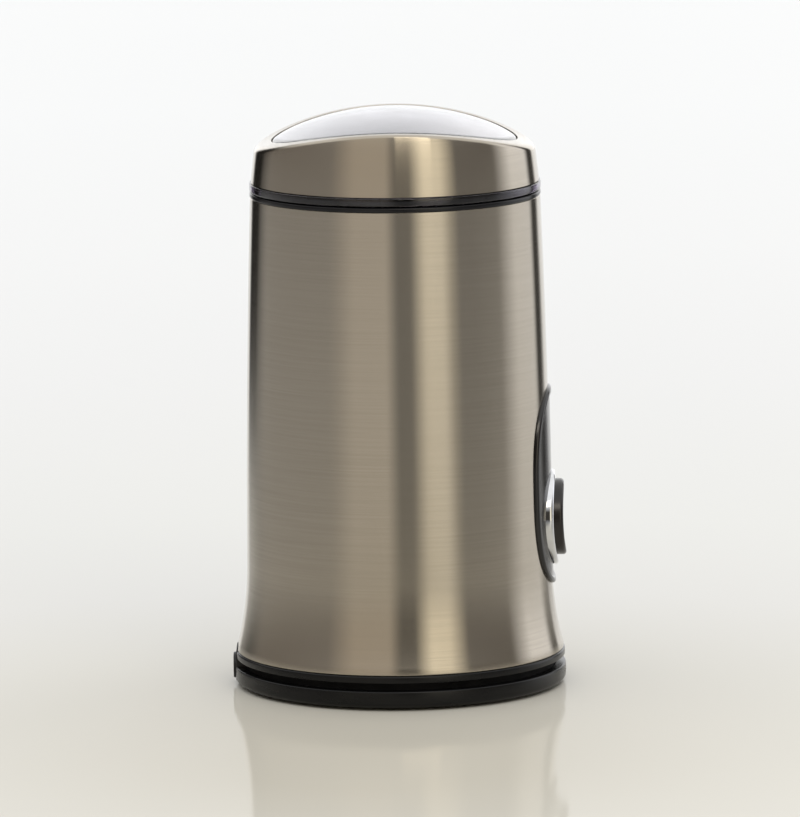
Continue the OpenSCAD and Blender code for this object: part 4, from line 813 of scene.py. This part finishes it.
def screw_pattern(length):
    """A pan-head screw that points up, the middle of its head's face at the origin, with a cross recess."""
    screw = lathe("screw_pattern", rounded([
        (0.0, 0.0), (HEAD_R, 0.0, 0.55), (HEAD_R, HEAD_H, 0.15), (SHANK_R, HEAD_H, 0.1),
        (SHANK_R, length - SHANK_TIP), (SHANK_R - SHANK_TIP, length), (0.0, length)]), 40, closed=False)
    arms = []
    for x, y in ((RECESS_ARM, RECESS_HALF), (RECESS_HALF, RECESS_ARM)):
        ends = ((1.0, -0.5), (RECESS_TAPER, RECESS_DEPTH))
        arms.append(prism("recess", [(-x, -y), (x, -y), (x, y), (-x, y)],
                          lambda a, b, end: (a * ends[end][0], b * ends[end][0], ends[end][1])))
    cut(screw, arms)
    return screw


def make_screws():
    """The pan-head screws of the base, the inner frame and the motor, each turned as it happened to stop."""
    sets = [("base_screws", turn_places(LEG_RING, LEG_TURN), 5),
            ("frame_screws", turn_places(COLUMN_RING, COLUMN_TURN), 11),
            ("motor_screws", [(x, y) for x in (-BOLT_X, BOLT_X) for y in (-BOLT_Y, BOLT_Y)], 17)]
    for node, places, seed in sets:
        low, high = (corner[2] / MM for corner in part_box(node))
        piece = grow_copies(node + "_pan_head", screw_pattern(high - low), [(x, y, low) for x, y in places],
                            math.tau, seed, "screw_steel")
        settle(piece, "screw_steel", "housing", node)


def make_feet():
    """Rubber feet with a round groove in the sole."""
    pattern = lathe("foot_pattern", rounded([
        (0.0, 0.0), (2.0, 0.0, 0.15), (2.15, 0.35, 0.1), (2.85, 0.35, 0.1), (3.0, 0.0, 0.15),
        (FOOT_R, 0.0, 0.45), (FOOT_R, FOOT_TOP, 0.1), (0.0, FOOT_TOP)]), 64, closed=False)
    places = [(x, y, 0.0) for x, y in turn_places(FEET_RING, FEET_TURN)]
    feet = grow_copies("rubber_feet", pattern, places, 0.0, 3, "foot_rubber")
    settle(feet, "foot_rubber", "housing", "feet")


def make_brush_springs():
    """The coils that press the brushes on, between each brush's outer end and its cap."""
    low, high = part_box("brush_springs")
    reach, height = high[1] / MM, (low[2] + high[2]) / 2 / MM
    start = BRUSH_END + BRUSH_WIRE_R
    piece = grow("brush_coil_springs", coils, [(0.0, start, height), (0.0, -start, height)], {
        "Coil Radius": BRUSH_COIL_R * MM, "Wire Radius": BRUSH_WIRE_R * MM,
        "Length": (reach - BRUSH_END - 2 * BRUSH_WIRE_R) * MM, "Turns": BRUSH_TURNS,
        "Finish": FINISHES["spring_steel"]})
    settle(piece, "spring_steel", "housing", "brush_springs")


pieces, coils = pieces_tree(), coils_tree()
make_sleeve()
make_collar()
make_base_ring()
make_base_cover()
make_lid_cover()
make_lid_liner()
make_button_panel()
make_bezel()
make_button()
make_outlet()
make_screws()
make_feet()
make_brush_springs()

# ---- the frame's own nodes take their finishes ----
slot_of = {part["node"]: part["material_slot"] for part in frame["record"]["subparts"]}
for name, piece in nodes.items():
    piece.data.materials.clear()
    piece.data.materials.append(FINISHES[slot_of[name]])


# ---- floor, light and camera, in metres and degrees ----
# The room that metal and glass show: degrees round the object from the camera, right positive, and a tone
ROOM_POWER = 1.5
COOL_WALL, GREY_WALL, WARM_WALL, DARK_GAP, SIDE_CARD = "#726D68", "#5F5B57", "#AAA092", "#33302C", "#23211F"
KEY_BOX, SIDE_BOX, EDGE_BOX, BACKDROP = "#FCF3DC", "#F8F9FC", "#FFFFFF", "#EAEBEC"
ROOM = [(-180, BACKDROP), (-174, BACKDROP), (-170, EDGE_BOX), (-162, EDGE_BOX), (-155, SIDE_CARD),
        (-138, SIDE_CARD), (-119, COOL_WALL), (-54, COOL_WALL), (-34, WARM_WALL), (-8, WARM_WALL),
        (1, DARK_GAP), (11, DARK_GAP), (23, KEY_BOX), (36, KEY_BOX), (51, GREY_WALL), (88, GREY_WALL),
        (108, SIDE_BOX), (131, SIDE_BOX), (139, DARK_GAP), (147, DARK_GAP), (151, EDGE_BOX), (172, EDGE_BOX),
        (178, BACKDROP), (180, BACKDROP)]
# The walls give way to a pale ceiling between these two heights of a direction (the sine of its elevation)
CEILING, WALLS_TOP, CEILING_FROM = "#DFDFDE", 0.33, 0.6
# What the camera itself would see past the table's far edge
SKY = "#FCFDFE"
# The table's tone with painted shade, darkest at a place in front of the object, by metres from there
SHADE_PLACE, TABLE_REACH = (-0.01, -0.125, 0.0), 2.0
TABLE_SHADE_TONES = [(0.0, "#CDC9BE"), (0.04, "#CFCBC0"), (0.1, "#D6D3CA"), (0.17, "#DBD9D2"), (0.28, "#E1E0DD"),
         (0.42, "#E5E5E2"), (0.75, "#E8E8E8"), (1.6, "#EDEEEF")]
TABLE_HALF, TABLE_T = 6.0, 0.02
# Painted reflections: dark card shapes in the table's colour that only glossy rays see, for the steel alone
# to show: (degrees, strength) stops, and the distances from the object between which they come in
CARD_REFLECTION_TONE = "#191816"
CARD_REFLECTIONS = [([(-158, 0.0), (-154, 1.0), (-138, 1.0), (-120, 0.0)], 0.36, 0.75),
         ([(131, 0.0), (137, 0.9), (149, 0.9), (153, 0.0)], 0.12, 0.35),
         ([(-138, 0.0), (-120, 0.25), (-45, 0.22), (-32, 0.03), (-8, 0.0), (2, 0.5), (12, 0.5), (21, 0.15),
           (28, 0.0), (36, 0.0), (43, 0.45), (62, 0.42), (85, 0.28), (100, 0.05), (115, 0.0)], 0.08, 0.25)]
LAMP_PLACE, LAMP_AIM, LAMP_SIZE = (0.115, -0.42, 0.39), (0.0, 0.0, 0.165), (0.24, 0.14)
LAMP_WATTS, LAMP_COLOUR = 0.26, "#FFF4DE"
EYE, LOOK, ROLL = (0.0007, -2.4014, 0.4538), (0.0, 0.98823, -0.15299), -0.69
SENSOR_MM, LENS_MM, SHIFT_Y = 36.0, 359.3, 1.4 / 817


def azimuth(tree, place):
    """Degrees round the object from the camera's side, as a number from 0 to 1."""
    parts = add(tree, "ShaderNodeSeparateXYZ", {0: place})
    nearer = add(tree, "ShaderNodeMath", {0: parts.outputs[1], 1: -1.0}, operation="MULTIPLY")
    angle = add(tree, "ShaderNodeMath", {0: parts.outputs[0], 1: nearer.outputs[0]}, operation="ARCTAN2")
    return add(tree, "ShaderNodeMapRange", {0: angle.outputs[0], 1: -math.pi, 2: math.pi}).outputs[0]


def ramp_of(tree, value, stops):
    """A colour ramp with its stops at numbers from 0 to 1."""
    made = add(tree, "ShaderNodeValToRGB", {0: value})
    for i, (place, colour) in enumerate(stops):
        stop = made.color_ramp.elements[i] if i < 2 else made.color_ramp.elements.new(place)
        stop.position, stop.color = place, colour
    return made.outputs[0]


def turned_stops(stops):
    """Stops at degrees round the object, for a ramp over azimuth()."""
    return [((degrees + 180) / 360, colour) for degrees, colour in stops]


def make_floor():
    """A glossy white table with painted shade in front of the object, which brightens into the backdrop a
    metre and more from it.
    """
    half, depth = TABLE_HALF / MM, TABLE_T / MM
    floor = upright("studio_floor", [(-half, -half), (half, -half), (half, half), (-half, half)], -depth, 0)
    made, tree = empty_material("polished_white_table")
    place = add(tree, "ShaderNodeTexCoord").outputs["Object"]
    around = azimuth(tree, place)
    mirrored = add(tree, "ShaderNodeLightPath").outputs["Is Glossy Ray"]
    away = add(tree, "ShaderNodeVectorMath", {0: place}, operation="LENGTH").outputs["Value"]
    # Painted shade: the table is darker near a place in front of the object
    shaded = add(tree, "ShaderNodeVectorMath", {0: place, 1: SHADE_PLACE}, operation="DISTANCE")
    share = spread(tree, shaded.outputs["Value"], 0.0, 1.0, 0.0, TABLE_REACH)
    tone = ramp_of(tree, share, [(metres / TABLE_REACH, linear(colour)) for metres, colour in TABLE_SHADE_TONES])
    # Painted reflections: in these sectors the table turns dark for glossy rays alone
    for stops, near, far in CARD_REFLECTIONS:
        sector = ramp_of(tree, around, turned_stops([(degrees, (v, v, v, 1.0)) for degrees, v in stops]))
        beyond = spread(tree, away, 0.0, 1.0, near, far)
        card = add(tree, "ShaderNodeMath", {0: sector, 1: beyond}, operation="MULTIPLY")
        seen = add(tree, "ShaderNodeMath", {0: card.outputs[0], 1: mirrored}, operation="MULTIPLY")
        mixed = add(tree, "ShaderNodeMix", {0: seen.outputs[0], 6: tone, 7: linear(CARD_REFLECTION_TONE)}, data_type="RGBA")
        tone = mixed.outputs[2]
    shader = add(tree, "ShaderNodeBsdfPrincipled", {
        "Base Color": tone, "IOR": 1.08, "Roughness": spread(tree, grain(tree, (400, 400, 400)), 0.05, 0.08)})
    add(tree, "ShaderNodeOutputMaterial", {"Surface": shader.outputs[0]})
    floor.data.materials.append(made)


def make_room():
    """The light from all round: soft boxes, walls and dark gaps, under a pale ceiling."""
    world = bpy.data.worlds.new("studio")
    scene.world = world
    world.use_nodes = True
    tree = world.node_tree
    tree.nodes.clear()
    place = add(tree, "ShaderNodeTexCoord").outputs["Generated"]
    stops = [(degrees, linear(tone)) for degrees, tone in ROOM]
    walls = ramp_of(tree, azimuth(tree, place), turned_stops(stops))
    rise = add(tree, "ShaderNodeSeparateXYZ", {0: place}).outputs[2]
    height = spread(tree, rise, 0.0, 1.0, WALLS_TOP, CEILING_FROM)
    top = add(tree, "ShaderNodeMix", {0: height, 6: walls, 7: linear(CEILING)}, data_type="RGBA")
    room = add(tree, "ShaderNodeVectorMath", {0: top.outputs[2], "Scale": ROOM_POWER}, operation="SCALE")
    path = add(tree, "ShaderNodeLightPath")
    seen = add(tree, "ShaderNodeMix", {0: path.outputs["Is Camera Ray"], 6: room.outputs[0], 7: linear(SKY)},
               data_type="RGBA")
    light = add(tree, "ShaderNodeBackground", {"Color": seen.outputs[2], "Strength": 1.0})
    add(tree, "ShaderNodeOutputWorld", {"Surface": light.outputs[0]})


def stand(name, data, place, look, roll=0.0):
    """A lamp or camera at a place, which looks along a direction and is rolled by some degrees."""
    made = bpy.data.objects.new(name, data)
    scene.collection.objects.link(made)
    turned = Vector(look).to_track_quat("-Z", "Y").to_matrix().to_4x4()
    made.matrix_world = Matrix.Translation(place) @ turned @ Matrix.Rotation(math.radians(roll), 4, "Z")
    return made


def make_lamp():
    """A small soft lamp over the front edge of the lid, which its wall shows as a glow under the shoulder."""
    lamp = bpy.data.lights.new("lid_lamp", "AREA")
    lamp.shape, lamp.energy, lamp.color = "RECTANGLE", LAMP_WATTS, linear(LAMP_COLOUR)[:3]
    lamp.size, lamp.size_y = LAMP_SIZE
    stand("lid_lamp", lamp, LAMP_PLACE, Vector(LAMP_AIM) - Vector(LAMP_PLACE))


def make_camera():
    """A long lens, a little above the lid, that looks slightly down."""
    lens = bpy.data.cameras.new("camera")
    lens.sensor_width, lens.lens, lens.shift_y = SENSOR_MM, LENS_MM, SHIFT_Y
    lens.clip_start, lens.clip_end = 0.1, 30.0
    scene.camera = stand("camera", lens, EYE, LOOK, ROLL)


make_floor()
make_room()
make_lamp()
make_camera()
scene.view_settings.view_transform = "Standard"
